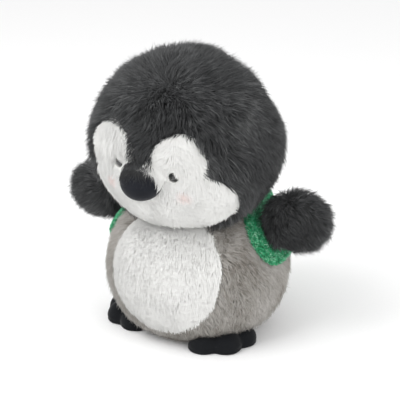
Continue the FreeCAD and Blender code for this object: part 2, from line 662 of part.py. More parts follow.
def strap_outline(name, side):
    """A hairpin band seen from the side: over the shoulder, round the flipper, back under it."""
    body = doc.addObject("PartDesign::Body", name)
    sketch = flat_sketch(body, name + "_hairpin", "YZ_Plane")
    inner = size("root_radius") + size("strap_play")
    outer = inner + size("strap_width")
    middle = size("neck_height") - size("strap_drop")
    nose = -size("flipper_forward") - size("strap_lead")
    rear = size("body_half_width") + size("pack_depth")
    centre = FreeCAD.Vector(nose, middle)
    for radius in (outer, inner):
        ring = Part.Circle(centre, FreeCAD.Vector(0, 0, 1), radius)
        sketch.addGeometry(Part.ArcOfCircle(ring, math.pi / 2, 3 * math.pi / 2))
    runs = [(level, rear) for level in (middle + outer, middle + inner, middle - inner, middle - outer)]
    for level, end in runs:
        sketch.addGeometry(Part.LineSegment(FreeCAD.Vector(nose, level), FreeCAD.Vector(end, level)))
    for first, second in ((middle + outer, middle + inner), (middle - inner, middle - outer)):
        sketch.addGeometry(Part.LineSegment(FreeCAD.Vector(rear, first), FreeCAD.Vector(rear, second)))
    joins = ((0, 1, 2, 1), (1, 1, 3, 1), (1, 2, 4, 1), (0, 2, 5, 1),
             (2, 2, 6, 1), (3, 2, 6, 2), (4, 2, 7, 1), (5, 2, 7, 2))
    for join in joins:
        sketch.addConstraint(Sketcher.Constraint("Coincident", *join))
    sketch.addConstraint(Sketcher.Constraint("Coincident", 0, 3, 1, 3))
    for line in (2, 3, 4, 5):
        sketch.addConstraint(Sketcher.Constraint("Horizontal", line))
    for line in (6, 7):
        sketch.addConstraint(Sketcher.Constraint("Vertical", line))
    for arc, line in ((0, 2), (0, 5), (1, 3), (1, 4)):
        sketch.addConstraint(Sketcher.Constraint("DistanceX", arc, 3, line, 1, 0.0))
    bound(sketch, "outer", Sketcher.Constraint("Radius", 0, outer),
          "dims.root_radius + dims.strap_play + dims.strap_width")
    bound(sketch, "inner", Sketcher.Constraint("Radius", 1, inner), "dims.root_radius + dims.strap_play")
    bound(sketch, "level", Sketcher.Constraint("DistanceY", -1, 1, 0, 3, middle),
          "dims.neck_height - dims.strap_drop")
    bound(sketch, "front", Sketcher.Constraint("DistanceX", 0, 3, -1, 1, -nose),
          "dims.flipper_forward + dims.strap_lead")
    bound(sketch, "rear_top", Sketcher.Constraint("DistanceX", -1, 1, 6, 1, rear), PACK_FACE)
    bound(sketch, "rear_low", Sketcher.Constraint("DistanceX", -1, 1, 7, 1, rear), PACK_FACE)
    pad = body.newObject("PartDesign::Pad", name + "_pad")
    pad.Profile = sketch
    pad.setExpression("Length", "dims.room")
    pad.Reversed = side < 0
    return body


for word, side in SIDES:
    band = common(f"strap_{word}_band", strap_layer, strap_outline(f"strap_{word}_outline", side))
    keep(f"strap_{word}", cut(f"strap_{word}_part", band, pack_outer))

# ---------------------------------------------------------------- sewn-in label


def label_plate(name):
    """A blank ribbon label caught in the right side seam, low down at the back."""
    rise = f"dims.label_height + dims.label_width / 2 - {HALF_TALL}"
    reach = f"{CURVE_INSET} + sqrt({SIDE_CURVE} ^ 2 - ({rise}) ^ 2)"
    plate = block(name, (f"-({reach} + dims.label_length)", "dims.back_seam_depth", "dims.label_height"),
                  (f"{reach} + dims.label_length", "dims.label_thickness", "dims.label_width"))
    return cut(name + "_free", plate, body_clear)


keep("care_label", label_plate("label_plate"))

# ---------------------------------------------------------------- checks and files

doc.recompute()
faults = []
for item in doc.Objects:
    if any(state in ("Invalid", "Error") for state in item.State):
        faults.append(f"{item.Name}: {item.State}")
for node, item in parts.items():
    if item.Shape.isNull() or not item.Shape.isValid():
        faults.append(f"{node}: its shape is not valid")
    elif len(item.Shape.Solids) != 1:
        faults.append(f"{node}: {len(item.Shape.Solids)} solids")
if faults:
    raise RuntimeError("; ".join(faults))

os.makedirs("parts", exist_ok=True)
for node, item in sorted(parts.items()):
    item.Shape.exportStep(os.path.join("parts", node + ".step"))
    print(f"{node:24s} {item.Shape.Volume / 1000.0:9.2f} cm3")
print(len(parts), "parts")
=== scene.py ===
# %% [markdown]
# # A stuffed penguin in faux fur
# This lesson dresses a finished engineering model of a plush penguin. The model already holds every
# piece at its real size: fur panels, stuffing, safety eyes, felt beak, feet, shoulder straps and a small
# pack. Here each of those pieces gets the surface that a sewing workshop would give it.
# We start by loading that model. Everything is in metres, +Z is up, and the penguin faces -Y.

# %% Load the engineering model
import json
import math

import bpy
import numpy as np
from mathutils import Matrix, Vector, kdtree


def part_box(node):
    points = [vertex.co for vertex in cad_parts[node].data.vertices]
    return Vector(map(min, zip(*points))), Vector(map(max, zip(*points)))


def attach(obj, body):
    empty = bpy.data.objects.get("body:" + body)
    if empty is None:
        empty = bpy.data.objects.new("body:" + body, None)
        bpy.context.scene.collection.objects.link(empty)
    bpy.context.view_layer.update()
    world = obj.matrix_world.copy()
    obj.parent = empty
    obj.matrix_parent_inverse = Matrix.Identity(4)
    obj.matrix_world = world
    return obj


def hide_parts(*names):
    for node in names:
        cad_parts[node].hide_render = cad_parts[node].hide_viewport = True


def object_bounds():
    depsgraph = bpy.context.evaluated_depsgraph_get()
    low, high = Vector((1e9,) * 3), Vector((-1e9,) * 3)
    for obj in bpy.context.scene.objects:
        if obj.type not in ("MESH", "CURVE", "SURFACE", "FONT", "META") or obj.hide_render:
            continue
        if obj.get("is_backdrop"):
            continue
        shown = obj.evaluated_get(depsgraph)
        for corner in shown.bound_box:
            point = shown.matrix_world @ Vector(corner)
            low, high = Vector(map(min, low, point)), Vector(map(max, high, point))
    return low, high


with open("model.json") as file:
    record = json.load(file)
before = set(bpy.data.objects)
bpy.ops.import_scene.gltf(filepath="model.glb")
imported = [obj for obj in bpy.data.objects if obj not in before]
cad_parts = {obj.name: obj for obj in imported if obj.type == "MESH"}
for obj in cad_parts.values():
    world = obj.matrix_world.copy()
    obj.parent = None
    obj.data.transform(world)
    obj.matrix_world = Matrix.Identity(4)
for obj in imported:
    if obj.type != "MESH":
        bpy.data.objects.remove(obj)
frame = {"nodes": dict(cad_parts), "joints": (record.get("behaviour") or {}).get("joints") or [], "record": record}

for leftover in ("Cube", "Light", "Camera"):
    if leftover in bpy.data.objects:
        bpy.data.objects.remove(bpy.data.objects[leftover])
cad_box = [list(corner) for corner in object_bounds()]
MM = 0.001
print("model box in mm:", [[round(c / MM, 1) for c in corner] for corner in cad_box])

# %% [markdown]
# ## The camera first
# A small telephoto lens from 90 cm away keeps the toy's proportions natural, as in a catalogue.
# It stands a little to the penguin's left and looks down on it by about nineteen degrees.

# %% Camera
CAMERA_AZIMUTH = math.radians(27.5)
CAMERA_ELEVATION = math.radians(18.8)
CAMERA_DISTANCE = 0.900
AIM = Vector((0.0, -0.002, 0.1127))

camera_data = bpy.data.cameras.new("studio_camera")
camera_data.sensor_width = 36.0
camera_data.lens = 94.3
camera_data.shift_x = 0.007
camera = bpy.data.objects.new("studio_camera", camera_data)
bpy.context.scene.collection.objects.link(camera)
backwards = Vector((math.sin(CAMERA_AZIMUTH) * math.cos(CAMERA_ELEVATION),
                    -math.cos(CAMERA_AZIMUTH) * math.cos(CAMERA_ELEVATION),
                    math.sin(CAMERA_ELEVATION)))
camera.location = AIM + backwards * CAMERA_DISTANCE
camera.rotation_euler = backwards.to_track_quat("Z", "Y").to_euler()
bpy.context.scene.camera = camera
print("camera at", [round(c, 3) for c in camera.location])

# %% [markdown]
# ## Measuring the soft shapes
# The head is an ellipsoid and the body a barrel turned from one arc. Both outlines mark where the tips
# of the pile end. Reading their sizes back from the model keeps this file and the model in step.

# %% Envelopes of head and body


def span(*nodes):
    """Lowest and highest corner of several model pieces together."""
    boxes = [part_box(node) for node in nodes]
    low = np.min([np.array(box[0]) for box in boxes], axis=0)
    high = np.max([np.array(box[1]) for box in boxes], axis=0)
    return low, high


head_low, head_high = span("forehead_panel", "crown_left", "crown_right", "head_back_left", "head_back_right")
HEAD_HALF_HEIGHT = 76.5 * MM
HEAD_HALF = np.array([(head_high[0] - head_low[0]) / 2, (head_high[1] - head_low[1]) / 2, HEAD_HALF_HEIGHT])
HEAD_MIDDLE = np.array([0.0, (head_high[1] + head_low[1]) / 2, head_high[2] - HEAD_HALF_HEIGHT])

body_high = span("body_side_left", "body_side_right", "back_panel", "belly_panel")[1]
NECK_HEIGHT = body_high[2]
RIM_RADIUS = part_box("base_panel")[1][0]
BODY_REACH = body_high[0]
BULGE = BODY_REACH - RIM_RADIUS
SIDE_CURVE = ((NECK_HEIGHT / 2) ** 2 + BULGE ** 2) / (2 * BULGE)
CURVE_INSET = BODY_REACH - SIDE_CURVE
print("head half sizes in mm", (HEAD_HALF / MM).round(1), "middle", (HEAD_MIDDLE / MM).round(1))
print("body reach", round(BODY_REACH / MM, 1), "side curve", round(SIDE_CURVE / MM, 1))


def unit(vectors):
    length = np.linalg.norm(vectors, axis=-1, keepdims=True)
    return vectors / np.maximum(length, 1e-9)


def head_depth(points):
    """How far points lie under the head's envelope."""
    return (1 - np.linalg.norm((points - HEAD_MIDDLE) / HEAD_HALF, axis=1)) * HEAD_HALF.mean()


def head_normal(points):
    return unit((points - HEAD_MIDDLE) / HEAD_HALF ** 2)


def body_depth(points):
    """How far points lie under the barrel's envelope."""
    radius = np.hypot(points[:, 0], points[:, 1])
    return SIDE_CURVE - np.hypot(radius - CURVE_INSET, points[:, 2] - NECK_HEIGHT / 2)


def body_normal(points):
    radius = np.maximum(np.hypot(points[:, 0], points[:, 1]), 1e-6)
    outward = (radius - CURVE_INSET) / radius
    return unit(np.stack([points[:, 0] * outward, points[:, 1] * outward, points[:, 2] - NECK_HEIGHT / 2], 1))


# %% [markdown]
# ## Two small tools for materials
# Colours are given as sRGB hex values, the way a swatch book gives them, and one function turns them
# into the linear numbers that a renderer needs. A second function adds any shader node.

# %% Colour and node helpers


def linear(code, alpha=1.0):
    """'#rrggbb' in sRGB to linear RGBA."""
    parts = [int(code[i:i + 2], 16) / 255 for i in (1, 3, 5)]
    return tuple(c / 12.92 if c <= 0.04045 else ((c + 0.055) / 1.055) ** 2.4 for c in parts) + (alpha,)


def add(tree, kind, inputs=None, **settings):
    """One node: settings are its properties, inputs are plain values or sockets to link from."""
    made = tree.nodes.new(kind)
    for name, value in settings.items():
        setattr(made, name, value)
    for name, value in (inputs or {}).items():
        if isinstance(value, bpy.types.NodeSocket):
            tree.links.new(value, made.inputs[name])
        else:
            made.inputs[name].default_value = value
    return made


# A Mix node has sockets of one name for numbers, vectors and colours. These are its two colours' places.
FIRST_COLOUR, SECOND_COLOUR, MIXED_COLOUR = 6, 7, 2


def new_material(name):
    material = bpy.data.materials.new(name)
    material.use_nodes = True
    tree = material.node_tree
    tree.nodes.clear()
    return material, tree


def colour_stops(ramp, stops):
    """Give a colour ramp its stops: pairs of place and colour code."""
    elements = ramp.color_ramp.elements
    while len(elements) < len(stops):
        elements.new(0.5)
    for element, (place, code) in zip(elements, stops):
        element.position = place
        element.color = linear(code)


# %% [markdown]
# ## Faux fur as a material
# Faux fur is acrylic or modacrylic fibre knitted into a backing. Each fibre is a thin dyed plastic rod:
# coloured by pigment, satin rather than shiny, darker near the root where the neighbours shade it.
# Fibres in one lock take the dye a little differently, so every strand carries a number called tone.
# The ramp turns tone into colour, and a second number, along, runs from root to tip and sets how much painted root
# shade each point gets.

# %% Faux fur finish


def pile_finish(name, stops, root_shade, roughness, sheen):
    material, tree = new_material(name)
    tone = add(tree, "ShaderNodeAttribute", attribute_name="tone")
    along = add(tree, "ShaderNodeAttribute", attribute_name="along")
    colouring = add(tree, "ShaderNodeValToRGB", {"Fac": tone.outputs["Fac"]})
    colour_stops(colouring, stops)
    # painted shade: the colour darkens towards the root over the lower part of each strand, down to root_shade at
    # the root
    depth = add(tree, "ShaderNodeMapRange", {"Value": along.outputs["Fac"], "From Max": 0.65,
                                             "To Min": root_shade, "To Max": 1.0})
    shaded = add(tree, "ShaderNodeMix", {"Factor": 1.0, FIRST_COLOUR: colouring.outputs["Color"],
                                         SECOND_COLOUR: depth.outputs["Result"]},
                 data_type="RGBA", blend_type="MULTIPLY")
    fibre = add(tree, "ShaderNodeBsdfPrincipled", {"Base Color": shaded.outputs[MIXED_COLOUR],
                                                   "Roughness": roughness,
                                                   "IOR": 1.5, "Specular IOR Level": 0.35,
                                                   "Sheen Weight": sheen, "Sheen Roughness": 0.5})
    add(tree, "ShaderNodeOutputMaterial", {"Surface": fibre.outputs["BSDF"]})
    return material


charcoal_fur = pile_finish("long_pile_charcoal_faux_fur",
                           [(0.0, "#232425"), (0.45, "#3b3c3d"), (0.8, "#4b4c4d"), (1.0, "#666767")],
                           0.55, 0.7, 0.1)
white_fur = pile_finish("short_pile_white_plush",
                        [(0.0, "#ededea"), (0.45, "#f5f5f2"), (0.72, "#f9f9f7"), (1.0, "#fae6e1")],
                        0.97, 0.8, 0.0)
grey_fur = pile_finish("mid_pile_grey_plush",
                       [(0.0, "#7b746c"), (0.3, "#a39f98"), (0.65, "#b3afaa"), (1.0, "#c4c1bc")],
                       0.75, 0.75, 0.1)

# %% [markdown]
# ## The backing cloth
# Under the pile is a knitted backing. It is nearly hidden, but a dark cloth between the hairs gives
# fur its depth. Each backing starts as the model's panel, whose outer face is the height of the tips,
# and that face is lowered to where the hairs are rooted.
# The scale of the knit is 1.4 mm, the size of a coarse warp-knit stitch. Each stitch is painted darker
# towards its edge, as painted shade in the gaps between stitches.

# %% Knitted backing finish


def knit_finish(name, code, painted_hollow_shade, stitch=1.4 * MM):
    material, tree = new_material(name)
    place = add(tree, "ShaderNodeTexCoord")
    stitches = add(tree, "ShaderNodeTexVoronoi", {"Vector": place.outputs["Object"], "Scale": 1 / stitch})
    # painted shade: the colour darkens towards each stitch's edge, into the gaps between stitches
    colouring = add(tree, "ShaderNodeMix", {"Factor": stitches.outputs["Distance"], FIRST_COLOUR: linear(code),
                                      SECOND_COLOUR: linear(painted_hollow_shade)}, data_type="RGBA")
    relief = add(tree, "ShaderNodeBump", {"Height": stitches.outputs["Distance"], "Strength": 0.4,
                                          "Distance": 0.3 * MM})
    cloth = add(tree, "ShaderNodeBsdfPrincipled", {"Base Color": colouring.outputs[MIXED_COLOUR], "Roughness": 0.9,
                                                   "Normal": relief.outputs["Normal"]})
    add(tree, "ShaderNodeOutputMaterial", {"Surface": cloth.outputs["BSDF"]})
    return material


charcoal_knit = knit_finish("charcoal_knit_backing", "#303031", "#232324")
white_knit = knit_finish("white_knit_backing", "#f5f5f2", "#eeeeea")
grey_knit = knit_finish("grey_knit_backing", "#9c978f", "#86817a")

# %% [markdown]
# ## Handling meshes
# Nothing here goes through Blender's edit mode. Points are read and written as whole arrays, which is
# quick, and modifiers are run and then baked, so that only plain meshes are left.
# The model's pieces are never changed. A piece that needs another shape starts from a copy.

# %% Mesh helpers
WELD_GAP = 0.05 * MM
WELDED = ("WELD", {"merge_threshold": WELD_GAP})


def link(name, mesh, *materials):
    """A new object in the scene with its materials, and smooth faces."""
    made = bpy.data.objects.new(name, mesh)
    bpy.context.scene.collection.objects.link(made)
    for material in materials:
        mesh.materials.append(material)
    mesh.polygons.foreach_set("use_smooth", np.ones(len(mesh.polygons), bool))
    return made


def points_of(mesh):
    found = np.empty(len(mesh.vertices) * 3)
    mesh.vertices.foreach_get("co", found)
    return found.reshape(-1, 3)


def put_points(mesh, points):
    mesh.vertices.foreach_set("co", np.asarray(points, float).ravel())
    mesh.update()


def triangles_of(mesh):
    """Corner places of every triangle, as (n, 3, 3)."""
    mesh.calc_loop_triangles()
    corners = np.empty(len(mesh.loop_triangles) * 3, np.int32)
    mesh.loop_triangles.foreach_get("vertices", corners)
    return points_of(mesh)[corners].reshape(-1, 3, 3)


def baked(made, *modifiers):
    """Run modifiers, given as (kind, settings), and keep only the resulting mesh."""
    for kind, settings in modifiers:
        modifier = made.modifiers.new(kind.lower(), kind)
        for name, value in settings.items():
            setattr(modifier, name, value)
    shape = made.evaluated_get(bpy.context.evaluated_depsgraph_get())
    mesh = bpy.data.meshes.new_from_object(shape)
    materials = list(made.data.materials)
    old = made.data
    made.modifiers.clear()
    made.data = mesh
    bpy.data.meshes.remove(old)
    if not mesh.materials:
        for material in materials:
            mesh.materials.append(material)
    mesh.polygons.foreach_set("use_smooth", np.ones(len(mesh.polygons), bool))
    return made


def rounded(made, voxel, passes):
    """Melt a form's shells into one skin and smooth it, as filling rounds a sewn form."""
    return baked(made, WELDED, ("REMESH", {"mode": "VOXEL", "voxel_size": voxel}),
                 ("SMOOTH", {"factor": 0.5, "iterations": passes}))


def copy_of(name, *nodes, material):
    """One new object holding copies of some model pieces."""
    meshes = [frame["nodes"][node].data for node in nodes]
    points = []
    faces = []
    start = 0
    for mesh in meshes:
        mesh.calc_loop_triangles()
        corners = np.empty(len(mesh.loop_triangles) * 3, np.int32)
        mesh.loop_triangles.foreach_get("vertices", corners)
        points.append(points_of(mesh))
        faces.append(corners.reshape(-1, 3) + start)
        start += len(mesh.vertices)
    joined = bpy.data.meshes.new(name)
    joined.from_pydata(np.concatenate(points).tolist(), [], np.concatenate(faces).tolist())
    return link(name, joined, material)


# %% [markdown]
# ## Growing the pile
# Real hairs on a toy lie over each other like thatch. Every strand here is a three-sided spike with one
# bend: it leaves the backing steeply, then lies over along the nap. Neighbouring tips lean together
# into locks, which is what makes fur read as fur from a distance.
# Hair strands that a particle system draws can't be exported, so these are honest meshes.
# The strands are plain meshes rather than particle hair. Here one strand stands for a lock of twenty or
# so, drawn 0.4 to 0.8 mm thick, because finer ones wouldn't show in the render.

# %% Places and directions for roots


def scatter(triangles, count, rng):
    """count random places, evenly spread over the triangles, and the triangles' own normals there."""
    edges = np.cross(triangles[:, 1] - triangles[:, 0], triangles[:, 2] - triangles[:, 0])
    area = np.linalg.norm(edges, axis=1)
    chosen = rng.choice(len(triangles), count, p=area / area.sum())
    a, b = rng.random((2, count, 1))
    folded = a + b > 1
    a, b = np.where(folded, 1 - a, a), np.where(folded, 1 - b, b)
    corner = triangles[chosen]
    return corner[:, 0] * (1 - a - b) + corner[:, 1] * a + corner[:, 2] * b, unit(edges[chosen])


def area_of(triangles):
    edges = np.cross(triangles[:, 1] - triangles[:, 0], triangles[:, 2] - triangles[:, 0])
    return float(np.linalg.norm(edges, axis=1).sum() / 2)


def ripple(points, wave, rng, terms=5):
    """A smooth random height from -1 to 1 whose bumps are about one wave long."""
    total = np.zeros(len(points))
    for _ in range(terms):
        way = unit(rng.normal(size=3)) * (2 * math.pi / wave) * rng.uniform(0.6, 1.5)
        total += np.sin(points @ way + rng.uniform(0, 2 * math.pi))
    return total / math.sqrt(terms)


def nearest(points, centres):
    """For each point, the number of the nearest centre."""
    tree = kdtree.KDTree(len(centres))
    for index, centre in enumerate(centres):
        tree.insert(centre, index)
    tree.balance()
    return np.array([tree.find(point)[1] for point in points])


def lay(normals, ways):
    """Directions pressed flat onto the surface. Where a way stands upright, the pile falls downwards."""
    flat = ways - normals * np.sum(ways * normals, axis=1, keepdims=True)
    fall = np.array([0.0, 0.0, -1.0])
    fall = fall - normals * (normals @ fall)[:, None]
    upright = 1 - np.linalg.norm(flat, axis=1, keepdims=True) / np.linalg.norm(ways, axis=1, keepdims=True)
    return unit(flat + fall * upright.clip(0, 1) * 0.8)


# %% [markdown]
# ### One strand
# Seven points make a strand: three round the root, three round the bend, and the tip. All strands go
# into one mesh at once, because adding a hundred thousand spikes one by one would take minutes.
# Light scatters from hair to hair, so the pile as a whole is lit much like the cloth under it. Turning
# each point's normal part of the way to the cloth's own gives that soft look.

# %% Strand mesh
STRAND_SIDES = ((0, 1, 4, 3), (1, 2, 5, 4), (2, 0, 3, 5), (3, 4, 6), (4, 5, 6), (5, 3, 6), (2, 1, 0))
SWATCH = 0.004
LOWEST = 0.8 * MM
MOST_STRANDS = 19900


def strand_mesh(name, roots, middles, tips, radii, tones, normals, softness):
    """Closed three-sided spikes through root, middle and tip, with tone and along on every corner."""
    count = len(roots)
    axis = unit(tips - roots)
    first = unit(np.cross(axis, unit(middles - roots) + np.array([0.013, 0.007, 0.011])))
    second = np.cross(axis, first)
    rings = []
    for centre, radius in ((roots, radii), (middles, radii * 0.85)):
        for turn in range(3):
            angle = turn * 2 * math.pi / 3
            rings.append(centre + radius[:, None] * (first * math.cos(angle) + second * math.sin(angle)))
    points = np.stack(rings + [tips], axis=1)
    corners = np.concatenate([np.array(side) for side in STRAND_SIDES])
    starts = np.cumsum([0] + [len(side) for side in STRAND_SIDES[:-1]])
    mesh = bpy.data.meshes.new(name)
    mesh.vertices.add(count * 7)
    mesh.vertices.foreach_set("co", points.ravel())
    mesh.loops.add(count * len(corners))
    mesh.loops.foreach_set("vertex_index", (np.arange(count)[:, None] * 7 + corners).ravel())
    mesh.polygons.add(count * len(starts))
    mesh.polygons.foreach_set("loop_start", (np.arange(count)[:, None] * len(corners) + starts).ravel())
    mesh.update(calc_edges=True)
    along = np.array([0, 0, 0, 0.5, 0.5, 0.5, 1.0])
    for label, values in (("tone", np.repeat(tones, 7)), ("along", np.tile(along, count))):
        layer = mesh.attributes.new(label, "FLOAT", "POINT")
        layer.data.foreach_set("value", values)
    # the OFBake map lays tone across and along upwards, so equal strands share their colours
    across = np.array([-SWATCH, 0, SWATCH, -SWATCH, 0, SWATCH, 0])[corners]
    up = np.array([0.06, 0.06, 0.06, 0.5, 0.5, 0.5, 0.97])[corners]
    up[-3:] = (0.03, 0.0, 0.03)
    spread = np.stack([0.02 + 0.96 * tones[:, None] + across, np.broadcast_to(up, (count, len(up)))], axis=2)
    mesh.uv_layers.new(name="OFBake").data.foreach_set("uv", spread.ravel())
    outward = [ring - centre for ring, centre in zip(rings, [roots] * 3 + [middles] * 3)]
    own = np.stack(outward + [axis], axis=1)
    lit = unit(normals[:, None, :] * softness + unit(own) * (1 - softness))
    mesh.normals_split_custom_set_from_vertices(lit.reshape(-1, 3).tolist())
    return mesh


# %% [markdown]
# ### A coat of strands
# Real pile is neither combed flat nor quite random. Each strand here follows the nap, wanders off it in
# slow waves, strays a little by itself, and then leans towards the middle of its lock.

# %% Grow a coat


def grow(name, roots, normals, ways, style, rng, clear=None):
    """A piece of pile. style holds lengths in metres; clear may move or drop strands near other pieces."""
    count = len(roots)
    wander = np.stack([ripple(roots, style["wave"], rng) for _ in range(3)], axis=1)
    flow = lay(normals, unit(ways) + wander * style["wander"] + rng.normal(size=(count, 3)) * style["stray"])
    length = style["length"] * (1 + style["uneven"] * rng.normal(size=count)).clip(0.4, 1.8)
    steep = np.radians(style["rise"] + rng.normal(size=count) * 9)[:, None]
    flat = np.radians(style["settle"] + rng.normal(size=count) * 9)[:, None]
    half = (length / 2)[:, None]
    middles = roots + half * (normals * np.sin(steep) + flow * np.cos(steep))
    tips = middles + half * (normals * np.sin(flat) + flow * np.cos(flat))
    lock = nearest(roots, roots[rng.choice(count, max(1, count // style["lock"]), replace=False)])
    sums = np.zeros((lock.max() + 1, 3))
    np.add.at(sums, lock, tips)
    centre = sums / np.bincount(lock, minlength=len(sums))[:, None]
    tips += (centre[lock] - tips) * style["gather"] * rng.uniform(0.5, 1.2, count)[:, None]
    lock_tone = rng.random(len(sums))[lock]
    tones = 0.5 + style["contrast"] * (lock_tone - 0.5) + style["speckle"] * (rng.random(count) - 0.5)
    tones += style["patches"] * ripple(roots, style["wave"] * 2, rng) * 0.25
    radii = style["radius"] * rng.uniform(0.7, 1.2, count)
    tones = tones.clip(0.0, style["brightest"])
    keep = np.ones(count, bool)
    if clear is not None:
        middles, tips, tones, keep = clear(roots, middles, tips, tones)
    tips[:, 2] = np.maximum(tips[:, 2], LOWEST)
    middles[:, 2] = np.maximum(middles[:, 2], LOWEST)
    mesh = strand_mesh(name, roots[keep], middles[keep], tips[keep], radii[keep], tones[keep], normals[keep],
                       style["softness"])
    made = link(name, mesh, style["finish"])
    print(name, int(keep.sum()), "strands")
    return made


# %% [markdown]
# ### Three kinds of pile
# Lengths are along the strand. rise and settle are its angles above the cloth, in degrees, before and
# after the bend. density counts strands to the square millimetre, and lock counts strands to a lock.
# softness says how far the normals turn to the cloth's own.

# %% Pile settings
CHARCOAL = {"length": 12.5 * MM, "uneven": 0.2, "rise": 62, "settle": 32, "wave": 30 * MM, "wander": 0.45,
            "stray": 0.26, "lock": 9, "gather": 0.42, "contrast": 0.65, "speckle": 0.5, "patches": 0.45,
            "radius": 0.28 * MM, "brightest": 1.0, "density": 1.15, "softness": 0.45, "finish": charcoal_fur}
WHITE = {"length": 6.5 * MM, "uneven": 0.15, "rise": 36, "settle": 10, "wave": 26 * MM, "wander": 0.25,
         "stray": 0.16, "lock": 12, "gather": 0.15, "contrast": 0.1, "speckle": 0.15, "patches": 0.15,
         "radius": 0.34 * MM, "brightest": 0.70, "density": 1.9, "softness": 0.94, "finish": white_fur}
GREY = {"length": 9.5 * MM, "uneven": 0.2, "rise": 54, "settle": 24, "wave": 22 * MM, "wander": 0.45,
        "stray": 0.24, "lock": 9, "gather": 0.4, "contrast": 0.45, "speckle": 0.4, "patches": 0.6,
        "radius": 0.29 * MM, "brightest": 1.0, "density": 1.2, "softness": 0.5, "finish": grey_fur}

# %% [markdown]
# ## Beak, eyes and what the pile must not cross
# Hairs rooted above the beak fall over its top edge, and none may run through it. Round each eye the
# washer behind the cloth pulls the face in, so the eye sits in a shallow dimple with shorter hair.
# These rules are functions that grow() is given, so each panel can have the ones that it needs.

# %% Places of eyes and beak
beak_low, beak_high = span("beak_upper", "beak_lower")
BEAK_MIDDLE = (beak_low + beak_high) / 2
BEAK_HALF = (beak_high - beak_low) / 2
BEAK_HALF_DEPTH = 16 * MM
BEAK_MIDDLE[1] = beak_low[1] + BEAK_HALF_DEPTH
BEAK_HALF[1] = BEAK_HALF_DEPTH
eye_spots = []
for side_word in ("left", "right"):
    eye_low, eye_high = (np.array(corner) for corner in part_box(f"eye_{side_word}"))
    middle = (eye_low + eye_high) / 2
    ahead = middle.copy()
    ahead[1] = eye_low[1]
    eye_spots.append(ahead)
EYE_CLEAR = 4.1 * MM
DIMPLE_WIDTH = 8.5 * MM
DIMPLE_DEPTH = 3.4 * MM
CROWN_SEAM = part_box("head_back_left")[0][1]
print("eyes at", [(spot / MM).round(1).tolist() for spot in eye_spots])
print("crown seam at", round(CROWN_SEAM / MM, 1))


def eased(values, low, high):
    """0 below low, 1 above high, smooth between."""
    share = ((values - low) / (high - low)).clip(0, 1)
    return share * share * (3 - 2 * share)


def eye_distance(points):
    """Distance from each point to the nearer eye, seen from the front."""
    flat = [np.hypot(points[:, 0] - spot[0], points[:, 2] - spot[2]) for spot in eye_spots]
    return np.minimum(*flat)


def off_the_beak(points, gap=0.5 * MM):
    """Points inside the beak are pushed out to just above its felt."""
    half = BEAK_HALF + gap
    scaled = (points - BEAK_MIDDLE) / half
    inside = np.linalg.norm(scaled, axis=1)
    out = np.where(inside < 1, 1 / np.maximum(inside, 0.05), 1.0)
    return BEAK_MIDDLE + scaled * out[:, None] * half


# %% [markdown]
# ### The outline of the white face
# Three ellipsoids overlap to make the face's outline: one wide chin and a lobe over each eye. The lobes
# differ by a few millimetres, because the face is sewn on by hand. Hairs near the outline need to know
# how far inside it they are.

# %% Face outline and trimming
FACE_FRONT = HEAD_MIDDLE[1] - HEAD_HALF[1]
FACE_REACH = 90 * MM
FACE_SHAPES = (((0.0, FACE_FRONT, NECK_HEIGHT + 25 * MM), (75 * MM, FACE_REACH, 35 * MM)),
               ((29 * MM, FACE_FRONT, HEAD_MIDDLE[2]), (19.5 * MM, FACE_REACH, 23 * MM)),
               ((-34 * MM, FACE_FRONT, HEAD_MIDDLE[2] + 4 * MM), (23.5 * MM, FACE_REACH, 23 * MM)))


def inside_face(points):
    """Roughly how far points lie inside the white face's outline; outside it is negative."""
    found = []
    for middle, halves in FACE_SHAPES:
        share = np.linalg.norm((points - np.array(middle)) / np.array(halves), axis=1)
        found.append((1 - share) * (halves[0] + halves[2]) / 2)
    return np.max(found, axis=0)


def clear_face(roots, middles, tips, tones):
    """Keep the pile off the eyes and on top of the beak, and shorter beside the eyes."""
    near = eye_distance(roots)
    short = eased(near, 1 * MM, 8 * MM).clip(0.5, 1.0)[:, None]
    middles, tips = roots + (middles - roots) * short, roots + (tips - roots) * short
    in_beak = np.linalg.norm((roots - BEAK_MIDDLE) / (BEAK_HALF + 0.3 * MM), axis=1) < 1
    keep = (near > EYE_CLEAR) & ~in_beak & (eye_distance(tips) > 0.85 * EYE_CLEAR)
    return off_the_beak(middles), off_the_beak(tips), tones, keep


WEDGE_HALF = 9 * MM
TRIMMED_OFF = 0.6


def trimmed_at_face(roots, middles, tips, tones):
    """Dark hair is cut short where it would hang over the white face, except in the wedge on the beak."""
    over = eased(inside_face(tips), -1.5 * MM, 1.0 * MM) * (roots[:, 2] > BEAK_MIDDLE[2] - 4 * MM)
    over *= np.abs(roots[:, 0]) > WEDGE_HALF
    short = (1 - TRIMMED_OFF * over)[:, None]
    middles, tips = roots + (middles - roots) * short, roots + (tips - roots) * short
    return clear_face(roots, middles, tips, tones)


# %% [markdown]
# ## Head panels
# Five dark panels and two white ones make the head. The nap could be set panel by panel, but then every
# seam shows as a dark arc, so one flow covers the whole head: it leaves a whorl over the brow, falls to
# the beak in front, and runs down the sides and the back. A shallow groove marks the crown seam.

# %% Grow the head
HEAD_HOLLOW = 6.5 * MM
FACE_LEAD = 30 * MM
CROWN_GROOVE = 2.0 * MM
GROOVE_WIDTH = 4 * MM
# a model face this close under the envelope belongs to the outside of a panel
OUTSIDE = 0.25 * MM


def head_hollow(points):
    """The stuffed head is a little flatter than a ball behind the crown, on both sides."""
    way = unit((points - HEAD_MIDDLE) / HEAD_HALF)
    beside = eased(np.abs(way[:, 0]), 0.1, 0.26)
    above = eased(way[:, 2], 0.1, 0.5)
    behind = eased(way[:, 1], 0.0, 0.35)
    return HEAD_HOLLOW * beside * above * behind


